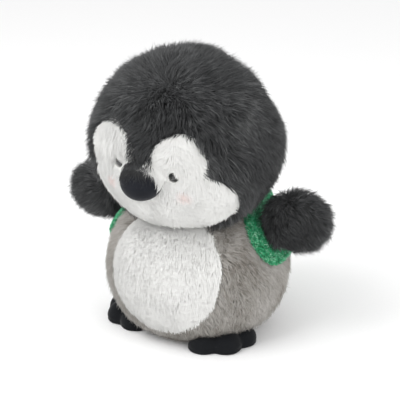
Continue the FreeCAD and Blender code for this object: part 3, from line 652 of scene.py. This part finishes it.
def head_sink(points, root_depth):
    """How far the backing lies under the tips, with dimples at the eyes and a groove at the crown seam."""
    front = points[:, 1] < HEAD_MIDDLE[1] - FACE_LEAD
    dimple = DIMPLE_DEPTH * np.exp(-(eye_distance(points) / DIMPLE_WIDTH) ** 2) * front
    groove = CROWN_GROOVE * np.exp(-((points[:, 1] - CROWN_SEAM) / GROOVE_WIDTH) ** 2)
    return root_depth + dimple + groove + head_hollow(points)


def panel(node, body, style, knit, depth_of, normal_of, sink_of, way_of, seed, clear=None):
    """Backing and pile for one sewn panel of the model."""
    rng = np.random.default_rng(seed)
    backing = copy_of(f"{node}_backing", node, material=knit)
    points = points_of(backing.data)
    top = depth_of(points) < OUTSIDE
    points[top] -= normal_of(points[top]) * sink_of(points[top])[:, None]
    put_points(backing.data, points)
    baked(backing, WELDED, ("DECIMATE", {"ratio": 0.12}))
    triangles = triangles_of(frame["nodes"][node].data)
    outside = depth_of(triangles.reshape(-1, 3)).reshape(-1, 3).max(axis=1) < OUTSIDE
    triangles = triangles[outside]
    count = min(int(area_of(triangles) / MM ** 2 * style["density"]), MOST_STRANDS)
    tips, _ = scatter(triangles, count, rng)
    normals = normal_of(tips)
    roots = tips - normals * sink_of(tips)[:, None]
    ways = way_of(roots)
    pile = grow(f"{node}_pile", roots, normals, ways, style, rng, clear)
    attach(pile, body)
    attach(backing, body)
    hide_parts(node)
    return pile


def same_way(*way):
    """A nap that runs one way over the whole panel."""
    return lambda points: np.broadcast_to(np.array(way, float), points.shape)


WHORL = np.array([3 * MM, -70 * MM, 230 * MM])


def head_way(points):
    """The nap runs away from a whorl over the brow, down to the beak in front and down the back."""
    away = unit(points - WHORL)
    brow = eased(-points[:, 1], 60 * MM, 80 * MM) * eased(np.abs(points[:, 0]), 48 * MM, 30 * MM)
    away[:, 0] -= points[:, 0] * 14 * brow
    away[:, 2] -= 0.35
    return away


def face_way(points):
    """Down and outwards, in towards the beak beside it, and out over the edge of the face."""
    beside = eased(np.abs(points[:, 0]), 30 * MM, 16 * MM) * eased(points[:, 2], BEAK_MIDDLE[2] - 6 * MM,
                                                                  BEAK_MIDDLE[2] + 6 * MM)
    out = points[:, 0] * 9 * (1 - beside) - np.sign(points[:, 0]) * beside * 1.2
    ways = np.stack([out, np.full(len(points), 0.1) - 0.4 * beside, -1.0 + 0.3 * beside], axis=1)
    step = 0.5 * MM
    slope = np.stack([inside_face(points) - inside_face(points + np.array(way) * step)
                      for way in ((1, 0, 0), (0, 1, 0), (0, 0, 1))], axis=1) / step
    edge = eased(inside_face(points), 6 * MM, 1 * MM) * (1 - beside)
    edge *= eased(slope[:, 2] / np.linalg.norm(slope, axis=1), 0.5, -0.1)
    return unit(ways) * (1 - 0.75 * edge)[:, None] + unit(slope) * (1.1 * edge)[:, None]


DARK_ROOTS = 7.2 * MM
WHITE_ROOTS = 3.2 * MM


def dark_sink(points):
    """Long hair is rooted deeply, but the cloth comes up to meet the short white pile at the face seam."""
    return head_sink(points, DARK_ROOTS - 3.4 * MM * eased(inside_face(points), -9 * MM, -1 * MM))


def white_sink(points):
    return head_sink(points, WHITE_ROOTS)


for seed, node in enumerate(("forehead_panel", "crown_left", "crown_right", "head_back_left",
                             "head_back_right"), start=11):
    panel(node, "root", CHARCOAL, charcoal_knit, head_depth, head_normal, dark_sink, head_way, seed,
          trimmed_at_face)

# %% [markdown]
# The white face is a short, dense plush. A touch of pink blusher is brushed on each cheek below the eye,
# so strands there take their colour from the pink end of the ramp.

# %% Grow the face
BLUSH_DROP = 14 * MM
BLUSH_OUT = 7 * MM
BLUSH_RADIUS = 7 * MM


def clear_and_blush(roots, middles, tips, tones):
    for spot in eye_spots:
        out = spot[0] + math.copysign(BLUSH_OUT, spot[0])
        away = np.hypot(roots[:, 0] - out, roots[:, 2] - (spot[2] - BLUSH_DROP))
        tones = np.maximum(tones, 0.70 + 0.3 * (1 - away / BLUSH_RADIUS)) * (away < BLUSH_RADIUS) \
            + tones * (away >= BLUSH_RADIUS)
    return clear_face(roots, middles, tips, tones)


for seed, node in enumerate(("face_left", "face_right"), start=31):
    panel(node, "root", WHITE, white_knit, head_depth, head_normal, white_sink, face_way, seed,
          clear_and_blush)

# %% [markdown]
# The beak is sewn on last, into hair that is already there, so the hair at its rim springs back over it.
# The forehead's point falls over its top, and the white cheek beside it sends tufts across its shoulder.
# Each fringe is rooted along an arc round the rim, given by two angles, and combed towards the beak.

# %% Fringes over the beak
FRINGE_ROOTS = 2.5 * MM


def lying_on_the_beak(roots, middles, tips, tones):
    """Strands stop just above the felt, and none is rooted in an eye."""
    keep = eye_distance(roots) > EYE_CLEAR
    return off_the_beak(middles, 0.8 * MM), off_the_beak(tips, 0.9 * MM), tones, keep


def fringe(name, style, count, first, last, widest, seed):
    """Longer strands rooted round the beak between two angles, in degrees up from the penguin's left."""
    rng = np.random.default_rng(seed)
    angle = np.radians(rng.uniform(first, last, count))
    out = rng.uniform(0.92, widest, count)
    x = BEAK_MIDDLE[0] + BEAK_HALF[0] * out * np.cos(angle)
    z = BEAK_MIDDLE[2] + BEAK_HALF[2] * out * np.sin(angle)
    across = (x - HEAD_MIDDLE[0]) / HEAD_HALF[0]
    up = (z - HEAD_MIDDLE[2]) / HEAD_HALF[2]
    y = HEAD_MIDDLE[1] - HEAD_HALF[1] * np.sqrt(1 - across ** 2 - up ** 2)
    surface = np.stack([x, y, z], axis=1)
    normals = head_normal(surface)
    roots = surface - normals * FRINGE_ROOTS
    ways = np.stack([BEAK_MIDDLE[0] - x, np.full(count, -3 * MM), BEAK_MIDDLE[2] - 6 * MM - z], axis=1)
    made = grow(name, roots, normals, ways, style, rng, lying_on_the_beak)
    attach(made, "root")


fringe("cheek_fringe_left", dict(WHITE, length=9.5 * MM, rise=48, settle=12, stray=0.3, gather=0.4, lock=14),
       1900, 8, 74, 1.4, 35)
fringe("forehead_fringe", dict(CHARCOAL, length=13.5 * MM, rise=50, settle=10, stray=0.25), 1100,
       68, 138, 1.25, 36)

# %% [markdown]
# ## Body panels
# The belly is the same white plush as the face. The grey sides and back are a slightly longer plush
# whose tips were printed darker in soft clouds. All of it lies downwards, so a hand strokes it smooth.

# %% Grow the body
GREY_ROOTS = 4.8 * MM


def body_hollow(points):
    """The body tucks in towards the base, where the panels are gathered into the seam."""
    return 4 * MM * eased(points[:, 2], 22 * MM, 2 * MM)


def body_sink(depth):
    return lambda points: depth + body_hollow(points)


panel("belly_panel", "root", WHITE, white_knit, body_depth, body_normal, body_sink(WHITE_ROOTS),
      same_way(0, -0.05, -1), 41)
GREY_NAPS = {"body_side_left": (0.35, 0.25, -1), "body_side_right": (-0.35, 0.25, -1),
             "back_panel": (0, 0.15, -1)}
for seed, (node, way) in enumerate(GREY_NAPS.items(), start=42):
    panel(node, "root", GREY, grey_knit, body_depth, body_normal, body_sink(GREY_ROOTS), same_way(*way), seed)

# %% [markdown]
# ## Flippers
# Each flipper is two dark panels sewn face to face, turned out and stuffed. Its root is a soft neck that
# goes through the shoulder strap into the side seam. Its base is an egg and a cone, melted together by
# a voxel remesh, which is how a sculptor would block it out. The fur then runs out to the tip.

# %% Block in a soft form
FLIPPER_SHIFT = 5.0 * MM
FLIPPER_FUR = dict(CHARCOAL, length=11 * MM, density=1.6, wave=20 * MM, lock=8)


def blob(name, lumps, material, voxel, passes):
    """Ellipsoids given as (centre, halves) melted into one closed skin."""
    points = []
    faces = []
    rings, steps = 14, 24
    for centre, halves in lumps:
        start = len(points)
        for ring in range(rings + 1):
            polar = math.pi * ring / rings
            for step in range(steps):
                angle = 2 * math.pi * step / steps
                way = np.array([math.sin(polar) * math.cos(angle), math.sin(polar) * math.sin(angle),
                                math.cos(polar)])
                points.append((np.array(centre) + way * np.array(halves)).tolist())
        for ring in range(rings):
            for step in range(steps):
                after = (step + 1) % steps
                low, high = start + ring * steps, start + (ring + 1) * steps
                faces.append((low + step, high + step, high + after, low + after))
    mesh = bpy.data.meshes.new(name)
    mesh.from_pydata(points, [], faces)
    return rounded(link(name, mesh, material), voxel, passes)


# %% [markdown]
# ### From the root to the tip
# Five small balls between the joint's pivot and the egg make the soft neck. The nap points inwards at
# the root, where it hides the strap's edge, then outwards, and fans out at the tip.

# %% Cover the flippers
for seed, (word, side) in enumerate((("left", 1.0), ("right", -1.0)), start=51):
    rng = np.random.default_rng(seed)
    body = f"flipper_{word}"
    joint = next(j for j in frame["joints"] if j["child"] == body)
    pivot = np.array(joint["pos_m"])
    fill_low, fill_high = span(f"flipper_{word}_stuffing")
    egg = (fill_low + fill_high) / 2 - np.array([side * FLIPPER_SHIFT, 0, 0])
    egg_half = (fill_high - fill_low) / 2 + 1.6 * MM
    steps = 5
    lumps = [(egg, egg_half)]
    for step in range(steps):
        share = step / steps
        lumps.append((pivot + (egg - pivot) * share * 0.8, np.full(3, (5.2 + 4.5 * share) * MM)))
    backing = blob(f"flipper_{word}_backing", lumps, charcoal_knit, 1.8 * MM, 4)
    triangles = triangles_of(backing.data)
    count = int(area_of(triangles) / MM ** 2 * FLIPPER_FUR["density"])
    roots, normals = scatter(triangles, count, rng)
    reach = side * (roots[:, 0] - egg[0]) / egg_half[0]
    out = (-0.6 + 1.6 * eased(reach, -1.0, -0.4)) * (1 - 0.7 * eased(reach, 0.3, 0.9)) * side
    ways = np.stack([out, 0.5 * eased(reach, 0.3, 0.9), np.full(count, -0.45)], axis=1)
    pile = grow(f"flipper_{word}_pile", roots, normals, ways, FLIPPER_FUR, rng)
    for piece in (backing, pile):
        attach(piece, body)
    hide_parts(f"flipper_{word}_front", f"flipper_{word}_rear")

# %% [markdown]
# ## Feet and beak in velboa
# Velboa is a knitted polyester with a one-millimetre pile, shorn flat. It looks almost like suede: matte,
# very dark here, with a faint pale bloom where the surface turns away. Sheen gives that bloom, and a
# paler colour painted in soft strokes 9 mm across adds painted sheen. A fine bump gives the shorn tips.
# The bump is 0.8 mm across, coarser than real, so that it shows.

# %% Velboa finish


def velboa_finish(name, code, painted_sheen):
    material, tree = new_material(name)
    place = add(tree, "ShaderNodeTexCoord")
    tips = add(tree, "ShaderNodeTexNoise", {"Vector": place.outputs["Object"], "Scale": 1 / (0.8 * MM),
                                            "Detail": 3.0})
    strokes = add(tree, "ShaderNodeTexNoise", {"Vector": place.outputs["Object"], "Scale": 1 / (9 * MM),
                                               "Detail": 2.0})
    # painted sheen: a paler colour laid on in soft strokes about 9 mm across
    colouring = add(tree, "ShaderNodeMix", {"Factor": strokes.outputs["Fac"], FIRST_COLOUR: linear(code),
                                      SECOND_COLOUR: linear(painted_sheen)}, data_type="RGBA")
    relief = add(tree, "ShaderNodeBump", {"Height": tips.outputs["Fac"], "Strength": 0.5,
                                          "Distance": 0.25 * MM})
    cloth = add(tree, "ShaderNodeBsdfPrincipled",
                {"Base Color": colouring.outputs[MIXED_COLOUR], "Roughness": 0.85, "Specular IOR Level": 0.15,
                 "Sheen Weight": 0.12, "Sheen Roughness": 0.4, "Normal": relief.outputs["Normal"]})
    add(tree, "ShaderNodeOutputMaterial", {"Surface": cloth.outputs["BSDF"]})
    return material


black_velboa = velboa_finish("black_velboa", "#0e0f12", "#16181b")
beak_velboa = velboa_finish("blue_black_velboa", "#14151a", "#1d1f25")

# %% [markdown]
# A foot is a top and a sole sewn edge to edge and stuffed, with two stitched creases that make three
# toes. The model's foot gives the place and size. A voxel remesh joins its pieces into one skin, and
# smoothing rounds them as stuffing does. A shallow groove marks the seam above the sole.

# %% Build the feet
SEAM_HEIGHT = 3.2 * MM
for word in ("left", "right"):
    foot = copy_of(f"foot_{word}_velboa", f"foot_{word}_top", f"foot_{word}_sole", f"foot_{word}_stuffing",
                   material=black_velboa)
    rounded(foot, 1.3 * MM, 14)
    points = points_of(foot.data)
    centre = points.mean(axis=0)
    outward = unit((points - centre) * np.array([1, 1, 0]))
    near_seam = np.exp(-((points[:, 2] - SEAM_HEIGHT) / (0.9 * MM)) ** 2)
    points -= outward * (near_seam * 0.7 * MM)[:, None]
    points[:, 2] = points[:, 2].clip(0.0002, None)
    put_points(foot.data, points)
    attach(foot, "root")
    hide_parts(f"foot_{word}_top", f"foot_{word}_sole")
    print(foot.name, len(foot.data.polygons), "faces")

# %% [markdown]
# The beak is a small stuffed egg in the same cloth, dyed blue-black. Its tip droops slightly, and
# the two halves meet in a fine seam along the sides.

# %% Build the beak
beak = copy_of("beak_velboa", "beak_upper", "beak_lower", "beak_stuffing", material=beak_velboa)
rounded(beak, 0.9 * MM, 6)
points = points_of(beak.data)
forward = ((BEAK_MIDDLE[1] - points[:, 1]) / BEAK_HALF[1]).clip(0, 1)
low = (BEAK_MIDDLE[2] - points[:, 2]).clip(0, None)
seam = np.exp(-((points[:, 2] - BEAK_MIDDLE[2]) / (0.7 * MM)) ** 2)
points[:, 2] -= 1.2 * MM * forward ** 2 + low * 0.12
sideways = unit((points - BEAK_MIDDLE) * np.array([1, 1, 0]))
points -= sideways * (seam * 0.3 * MM)[:, None]
put_points(beak.data, points)
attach(beak, "root")
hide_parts("beak_upper", "beak_lower")
print(beak.name, len(beak.data.polygons), "faces")

# %% [markdown]
# ## Eyes, washers and the small hidden pieces
# A safety eye is injection-moulded acrylic, tumbled until it shines, so it is nearly black and very
# smooth, with sharp highlights. A trace of swirl in the colour keeps it from looking like a hole.
# The washer behind it is plain moulded polypropylene.

# %% Plastic finishes


def moulded_finish(name, dark, light, roughness, coat, swirl=2.5 * MM):
    material, tree = new_material(name)
    place = add(tree, "ShaderNodeTexCoord")
    flow = add(tree, "ShaderNodeTexNoise", {"Vector": place.outputs["Object"], "Scale": 1 / swirl,
                                            "Detail": 4.0})
    colouring = add(tree, "ShaderNodeMix", {"Factor": flow.outputs["Fac"], FIRST_COLOUR: linear(dark),
                                      SECOND_COLOUR: linear(light)}, data_type="RGBA")
    plastic = add(tree, "ShaderNodeBsdfPrincipled",
                  {"Base Color": colouring.outputs[MIXED_COLOUR], "Roughness": roughness, "IOR": 1.49,
                   "Coat Weight": coat, "Coat Roughness": 0.05})
    add(tree, "ShaderNodeOutputMaterial", {"Surface": plastic.outputs["BSDF"]})
    return material


def dress(node, material):
    """Give a model piece that stays visible its material."""
    mesh = frame["nodes"][node].data
    mesh.materials.clear()
    mesh.materials.append(material)
    mesh.polygons.foreach_set("material_index", np.zeros(len(mesh.polygons), np.int32))


eye_acrylic = moulded_finish("polished_black_acrylic", "#050607", "#121415", 0.08, 1.0)
washer_polypropylene = moulded_finish("moulded_polypropylene", "#d9d8d0", "#e6e5de", 0.5, 0.0)
for word in ("left", "right"):
    dress(f"eye_{word}", eye_acrylic)
    dress(f"eye_washer_{word}", washer_polypropylene)
print("two eyes and two washers dressed")

# %% [markdown]
# The stuffing is loose polyester fibre, which packs into soft white lumps. It is hidden, but it is
# there all the same. The pellets sit in a plain cotton bag.

# %% Fibre and cotton


def lumpy_finish(name, dark, light, grain):
    material, tree = new_material(name)
    place = add(tree, "ShaderNodeTexCoord")
    fibres = add(tree, "ShaderNodeTexNoise", {"Vector": place.outputs["Object"], "Scale": 1 / grain,
                                              "Detail": 6.0, "Roughness": 0.7})
    colouring = add(tree, "ShaderNodeMix", {"Factor": fibres.outputs["Fac"], FIRST_COLOUR: linear(dark),
                                      SECOND_COLOUR: linear(light)}, data_type="RGBA")
    relief = add(tree, "ShaderNodeBump", {"Height": fibres.outputs["Fac"], "Strength": 0.6,
                                          "Distance": 0.8 * MM})
    cloth = add(tree, "ShaderNodeBsdfPrincipled", {"Base Color": colouring.outputs[MIXED_COLOUR], "Roughness": 0.9,
                                                   "Normal": relief.outputs["Normal"]})
    add(tree, "ShaderNodeOutputMaterial", {"Surface": cloth.outputs["BSDF"]})
    return material


NECK_GIVE = 9 * MM
polyester_fibre = lumpy_finish("polyester_fibre_fill", "#d8d8d4", "#f4f4f2", 4 * MM)
cotton_bag = lumpy_finish("plain_cotton_calico", "#cfc8b4", "#e6e0d0", 0.9 * MM)
bodies = frame["record"]["behaviour"]["bodies"]
stuffed = [node for node in sorted(frame["nodes"]) if node.endswith(("stuffing", "filling", "pellet_bag"))]
for seed, node in enumerate(stuffed, start=61):
    rng = np.random.default_rng(seed)
    body = next(name for name, owned in bodies.items() if node in owned)
    finish = cotton_bag if node == "pellet_bag" else polyester_fibre
    lump = copy_of(f"{node}_fibre", node, material=finish)
    baked(lump, WELDED, ("DECIMATE", {"ratio": 0.15}))
    points = points_of(lump.data)
    middle = points.mean(axis=0)
    dent = (ripple(points, 16 * MM, rng) + 1.6).clip(0, 3) * 0.25 * MM
    if node == "head_stuffing":
        dent += head_hollow(points)
    if node == "body_stuffing":
        # at the neck the fibre sinks back, so that none of it shows in the crease under the head
        under_neck = points[:, 2] - NECK_HEIGHT
        dent += body_hollow(points) + NECK_GIVE * eased(under_neck, -14 * MM, -2 * MM)
    points += unit(middle - points) * dent[:, None]
    if node.startswith("flipper"):
        # the fibre fills the backing, which stands a little nearer the body than the model's panels do
        points = middle + (points - middle) * 0.9 - np.array([math.copysign(FLIPPER_SHIFT, middle[0]), 0, 0])
    put_points(lump.data, points)
    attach(lump, body)
    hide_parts(node)
print(len(stuffed), "lumps of filling")

# %% [markdown]
# ## Shoulder straps in glitter cloth
# The straps are padded bands covered in a green tinsel cloth: a looped knit with strips of foil in it.
# The band itself is a rounded section swept over the shoulder, round the flipper and back under it,
# always standing on the barrel of the body. Thousands of short foil loops then cover it.
# Foil strips are about 0.3 mm wide on such cloth. Here they are 0.6 mm, because finer ones wouldn't show.

# %% Glitter cloth
glitter_foil = pile_finish("green_tinsel_foil",
                           [(0.0, "#17704a"), (0.4, "#2fa86e"), (0.75, "#4cc48c"), (1.0, "#bdf2d6")],
                           0.75, 0.34, 0.0)
TINSEL = {"length": 2.6 * MM, "uneven": 0.25, "rise": 55, "settle": 15, "wave": 8 * MM, "wander": 1.0,
          "stray": 1.2, "lock": 4, "gather": 0.1, "contrast": 0.3, "speckle": 0.9, "patches": 0.2,
          "radius": 0.30 * MM, "brightest": 1.0, "density": 2.4, "softness": 0.3, "finish": glitter_foil}


def tinsel_ground(name, dark, light):
    """The looped knit under the foil: green, with bright flecks about a millimetre apart."""
    material, tree = new_material(name)
    place = add(tree, "ShaderNodeTexCoord")
    loops = add(tree, "ShaderNodeTexVoronoi", {"Vector": place.outputs["Object"], "Scale": 1 / (1.2 * MM)})
    flecks = add(tree, "ShaderNodeValToRGB", {"Fac": loops.outputs["Distance"]})
    colour_stops(flecks, [(0.1, light), (0.55, dark)])
    relief = add(tree, "ShaderNodeBump", {"Height": loops.outputs["Distance"], "Strength": 0.7,
                                          "Distance": 0.5 * MM})
    cloth = add(tree, "ShaderNodeBsdfPrincipled", {"Base Color": flecks.outputs["Color"], "Roughness": 0.5,
                                                   "Normal": relief.outputs["Normal"]})
    add(tree, "ShaderNodeOutputMaterial", {"Surface": cloth.outputs["BSDF"]})
    return material


glitter_cloth = tinsel_ground("green_glitter_knit", "#0f5c33", "#2f9c5f")
pack_felt = tinsel_ground("green_wool_felt", "#0d4a29", "#14603a")


def glitter(name, base, seed, style=TINSEL):
    """Foil loops over a finished piece."""
    rng = np.random.default_rng(seed)
    triangles = triangles_of(base.data)
    count = int(area_of(triangles) / MM ** 2 * style["density"])
    roots, normals = scatter(triangles, count, rng)
    ways = rng.normal(size=(count, 3))
    return grow(name, roots, normals, ways, style, rng)


# %% [markdown]
# ### Sweeping the band
# Seen from the side the band is a hairpin. Its middle line is two straight runs joined by a half circle.
# Each place on that line is set on the barrel, and a rounded section is drawn there, wide along the
# barrel and thin across it.

# %% Build the straps
STRAP_WIDTH = 15.5 * MM
STRAP_THICKNESS = 4.2 * MM
STRAP_TAIL = 62 * MM
STRAP_PLAY = 0.35 * MM
RUN_STEPS = 24
BEND_STEPS = 28
ROUND_STEPS = 18


def on_barrel(y, z, side):
    """The place on the body's side at this depth and height."""
    radius = CURVE_INSET + math.sqrt(max(SIDE_CURVE ** 2 - (z - NECK_HEIGHT / 2) ** 2, 0))
    y = min(y, radius * 0.999)
    return np.array([side * math.sqrt(max(radius ** 2 - y ** 2, 0)), y, z])


for seed, (word, side) in enumerate((("left", 1.0), ("right", -1.0)), start=81):
    strap_low, strap_high = (np.array(c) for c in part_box(f"strap_{word}"))
    level = (strap_low[2] + strap_high[2]) / 2 + 1 * MM
    bend = (strap_high[2] - strap_low[2]) / 2 + 1 * MM - STRAP_WIDTH / 2
    nose = strap_low[1] + bend + STRAP_WIDTH / 2
    line = [(STRAP_TAIL + (nose - STRAP_TAIL) * k / RUN_STEPS, level + bend) for k in range(RUN_STEPS)]
    for k in range(BEND_STEPS + 1):
        turn = math.pi * k / BEND_STEPS
        line.append((nose - bend * math.sin(turn), level + bend * math.cos(turn)))
    line += [(nose + (STRAP_TAIL - nose) * k / RUN_STEPS, level - bend) for k in range(1, RUN_STEPS + 1)]
    centres = np.array([on_barrel(y, z, side) for y, z in line])
    normals = body_normal(centres)
    forward = unit(np.gradient(centres, axis=0))
    across = unit(np.cross(normals, forward))
    points = []
    for centre, up, wide in zip(centres, normals, across):
        middle = centre + up * (STRAP_PLAY + STRAP_THICKNESS / 2)
        for step in range(ROUND_STEPS):
            angle = 2 * math.pi * step / ROUND_STEPS
            flat = math.copysign(abs(math.cos(angle)) ** 0.6, math.cos(angle)) * STRAP_WIDTH / 2
            proud = math.copysign(abs(math.sin(angle)) ** 0.75, math.sin(angle)) * STRAP_THICKNESS / 2
            points.append((middle + wide * flat + up * proud).tolist())
    faces = []
    for ring in range(len(line) - 1):
        low, high = ring * ROUND_STEPS, (ring + 1) * ROUND_STEPS
        for step in range(ROUND_STEPS):
            after = (step + 1) % ROUND_STEPS
            faces.append((low + step, low + after, high + after, high + step))
    faces.append(tuple(reversed(range(ROUND_STEPS))))
    faces.append(tuple(range(len(points) - ROUND_STEPS, len(points))))
    mesh = bpy.data.meshes.new(f"strap_{word}_band")
    mesh.from_pydata(points, [], faces)
    band = link(f"strap_{word}_band", mesh, glitter_cloth)
    foil = glitter(f"strap_{word}_foil", band, seed)
    for piece in (band, foil):
        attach(piece, "root")
    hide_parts(f"strap_{word}")

# %% [markdown]
# ## The little pack
# The pack is a soft box of the same glitter cloth, sewn shut and stuffed, with a flat pocket. Remeshing
# the model's box and smoothing it hard rounds it the way filling does. The back panel and the
# hanging loop keep the model's own shape. A felt panel closes the side that lies on the body.

# %% Build the pack
pack = copy_of("pack_cloth", "pack_shell", "pack_filling", material=glitter_cloth)
rounded(pack, 2.0 * MM, 10)
pocket = copy_of("pocket_cloth", "pack_pocket", material=glitter_cloth)
rounded(pocket, 1.2 * MM, 5)
pack_foil = glitter("pack_foil", pack, 91)
pocket_foil = glitter("pocket_foil", pocket, 92)
for piece, node in ((pack, "pack_shell"), (pocket, "pack_pocket"), (pack_foil, None), (pocket_foil, None)):
    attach(piece, "root")
    if node:
        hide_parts(node)
dress("pack_back_panel", pack_felt)
dress("grab_loop", glitter_cloth)

# %% [markdown]
# ## Label and base
# The label is a blank satin ribbon: tightly woven polyester whose weft runs one way, so it shines
# in fine bands, which are painted into its colour as lighter and darker stripes of painted sheen.
# The base is a short grey plush, the only panel that the toy stands on.

# %% Ribbon and base finishes
ribbon, tree = new_material("polyester_satin_ribbon")
place = add(tree, "ShaderNodeTexCoord")
# painted sheen: fine lighter and darker bands that stand for the satin's shine
painted_shine_bands = add(tree, "ShaderNodeTexWave", {"Vector": place.outputs["Object"], "Scale": 1 / (1.2 * MM),
                                       "Distortion": 1.0}, bands_direction="Z")
colouring = add(tree, "ShaderNodeMix", {"Factor": painted_shine_bands.outputs["Fac"], FIRST_COLOUR: linear("#e2e2dd"),
                                  SECOND_COLOUR: linear("#f3f3f0")}, data_type="RGBA")
satin = add(tree, "ShaderNodeBsdfPrincipled", {"Base Color": colouring.outputs[MIXED_COLOUR], "Roughness": 0.35,
                                               "Sheen Weight": 0.2})
add(tree, "ShaderNodeOutputMaterial", {"Surface": satin.outputs["BSDF"]})
dress("care_label", ribbon)
dress("base_panel", lumpy_finish("short_grey_plush_base", "#6d675f", "#8f8982", 1.2 * MM))

# %% [markdown]
# ## Floor and light
# A pale sweep of paper and two big soft lamps, as in a product studio: one large key from above and in
# front, a weaker fill beside it, and a bright surround that keeps the shadows open.

# %% Studio
floor_mesh = bpy.data.meshes.new("paper_floor")
REACH = 3.0
floor_mesh.from_pydata([(-REACH, -REACH, 0), (REACH, -REACH, 0), (REACH, REACH, 0), (-REACH, REACH, 0)], [],
                       [(0, 1, 2, 3)])
paper, tree = new_material("white_paper_sweep")
place = add(tree, "ShaderNodeTexCoord")
grain = add(tree, "ShaderNodeTexNoise", {"Vector": place.outputs["Object"], "Scale": 400.0})
tint = add(tree, "ShaderNodeMix", {"Factor": grain.outputs["Fac"], FIRST_COLOUR: linear("#f6f6f6"),
                                   SECOND_COLOUR: linear("#fbfbfb")}, data_type="RGBA")
sheet = add(tree, "ShaderNodeBsdfPrincipled", {"Base Color": tint.outputs[MIXED_COLOUR], "Roughness": 0.9})
add(tree, "ShaderNodeOutputMaterial", {"Surface": sheet.outputs["BSDF"]})
link("paper_floor", floor_mesh, paper)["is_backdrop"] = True

world = bpy.data.worlds.new("bright_surround")
bpy.context.scene.world = world
world.use_nodes = True
world.node_tree.nodes.clear()
sky = add(world.node_tree, "ShaderNodeBackground", {"Color": (1.0, 1.0, 1.0, 1.0), "Strength": 0.95})
add(world.node_tree, "ShaderNodeOutputWorld", {"Surface": sky.outputs["Background"]})


def soft_lamp(name, spot, size, watts):
    """A square area lamp aimed at the toy."""
    data = bpy.data.lights.new(name, "AREA")
    data.size = size
    data.energy = watts
    lamp = bpy.data.objects.new(name, data)
    bpy.context.scene.collection.objects.link(lamp)
    lamp.location = spot
    lamp.rotation_euler = (Vector(spot) - AIM).to_track_quat("Z", "Y").to_euler()
    return lamp


soft_lamp("key_lamp", (-0.5, -0.9, 1.2), 0.9, 12.0)
soft_lamp("fill_lamp", (1.1, -0.6, 0.7), 0.8, 4.0)
print("two lamps, a paper floor and a bright surround")
bpy.context.scene.view_settings.view_transform = "Standard"

# %% [markdown]
# ## Last measurement
# This prints how far the visual pieces reach past the model's own box, where a little loose hair sticks out.
# The visual pieces must stay in the model's own box, apart from a little loose hair.

# %% Sizes and finish
new_box = [list(corner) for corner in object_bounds()]
growth = (np.array(new_box) - np.array(cad_box)) / MM
print("grown by mm:", growth.round(1).tolist())
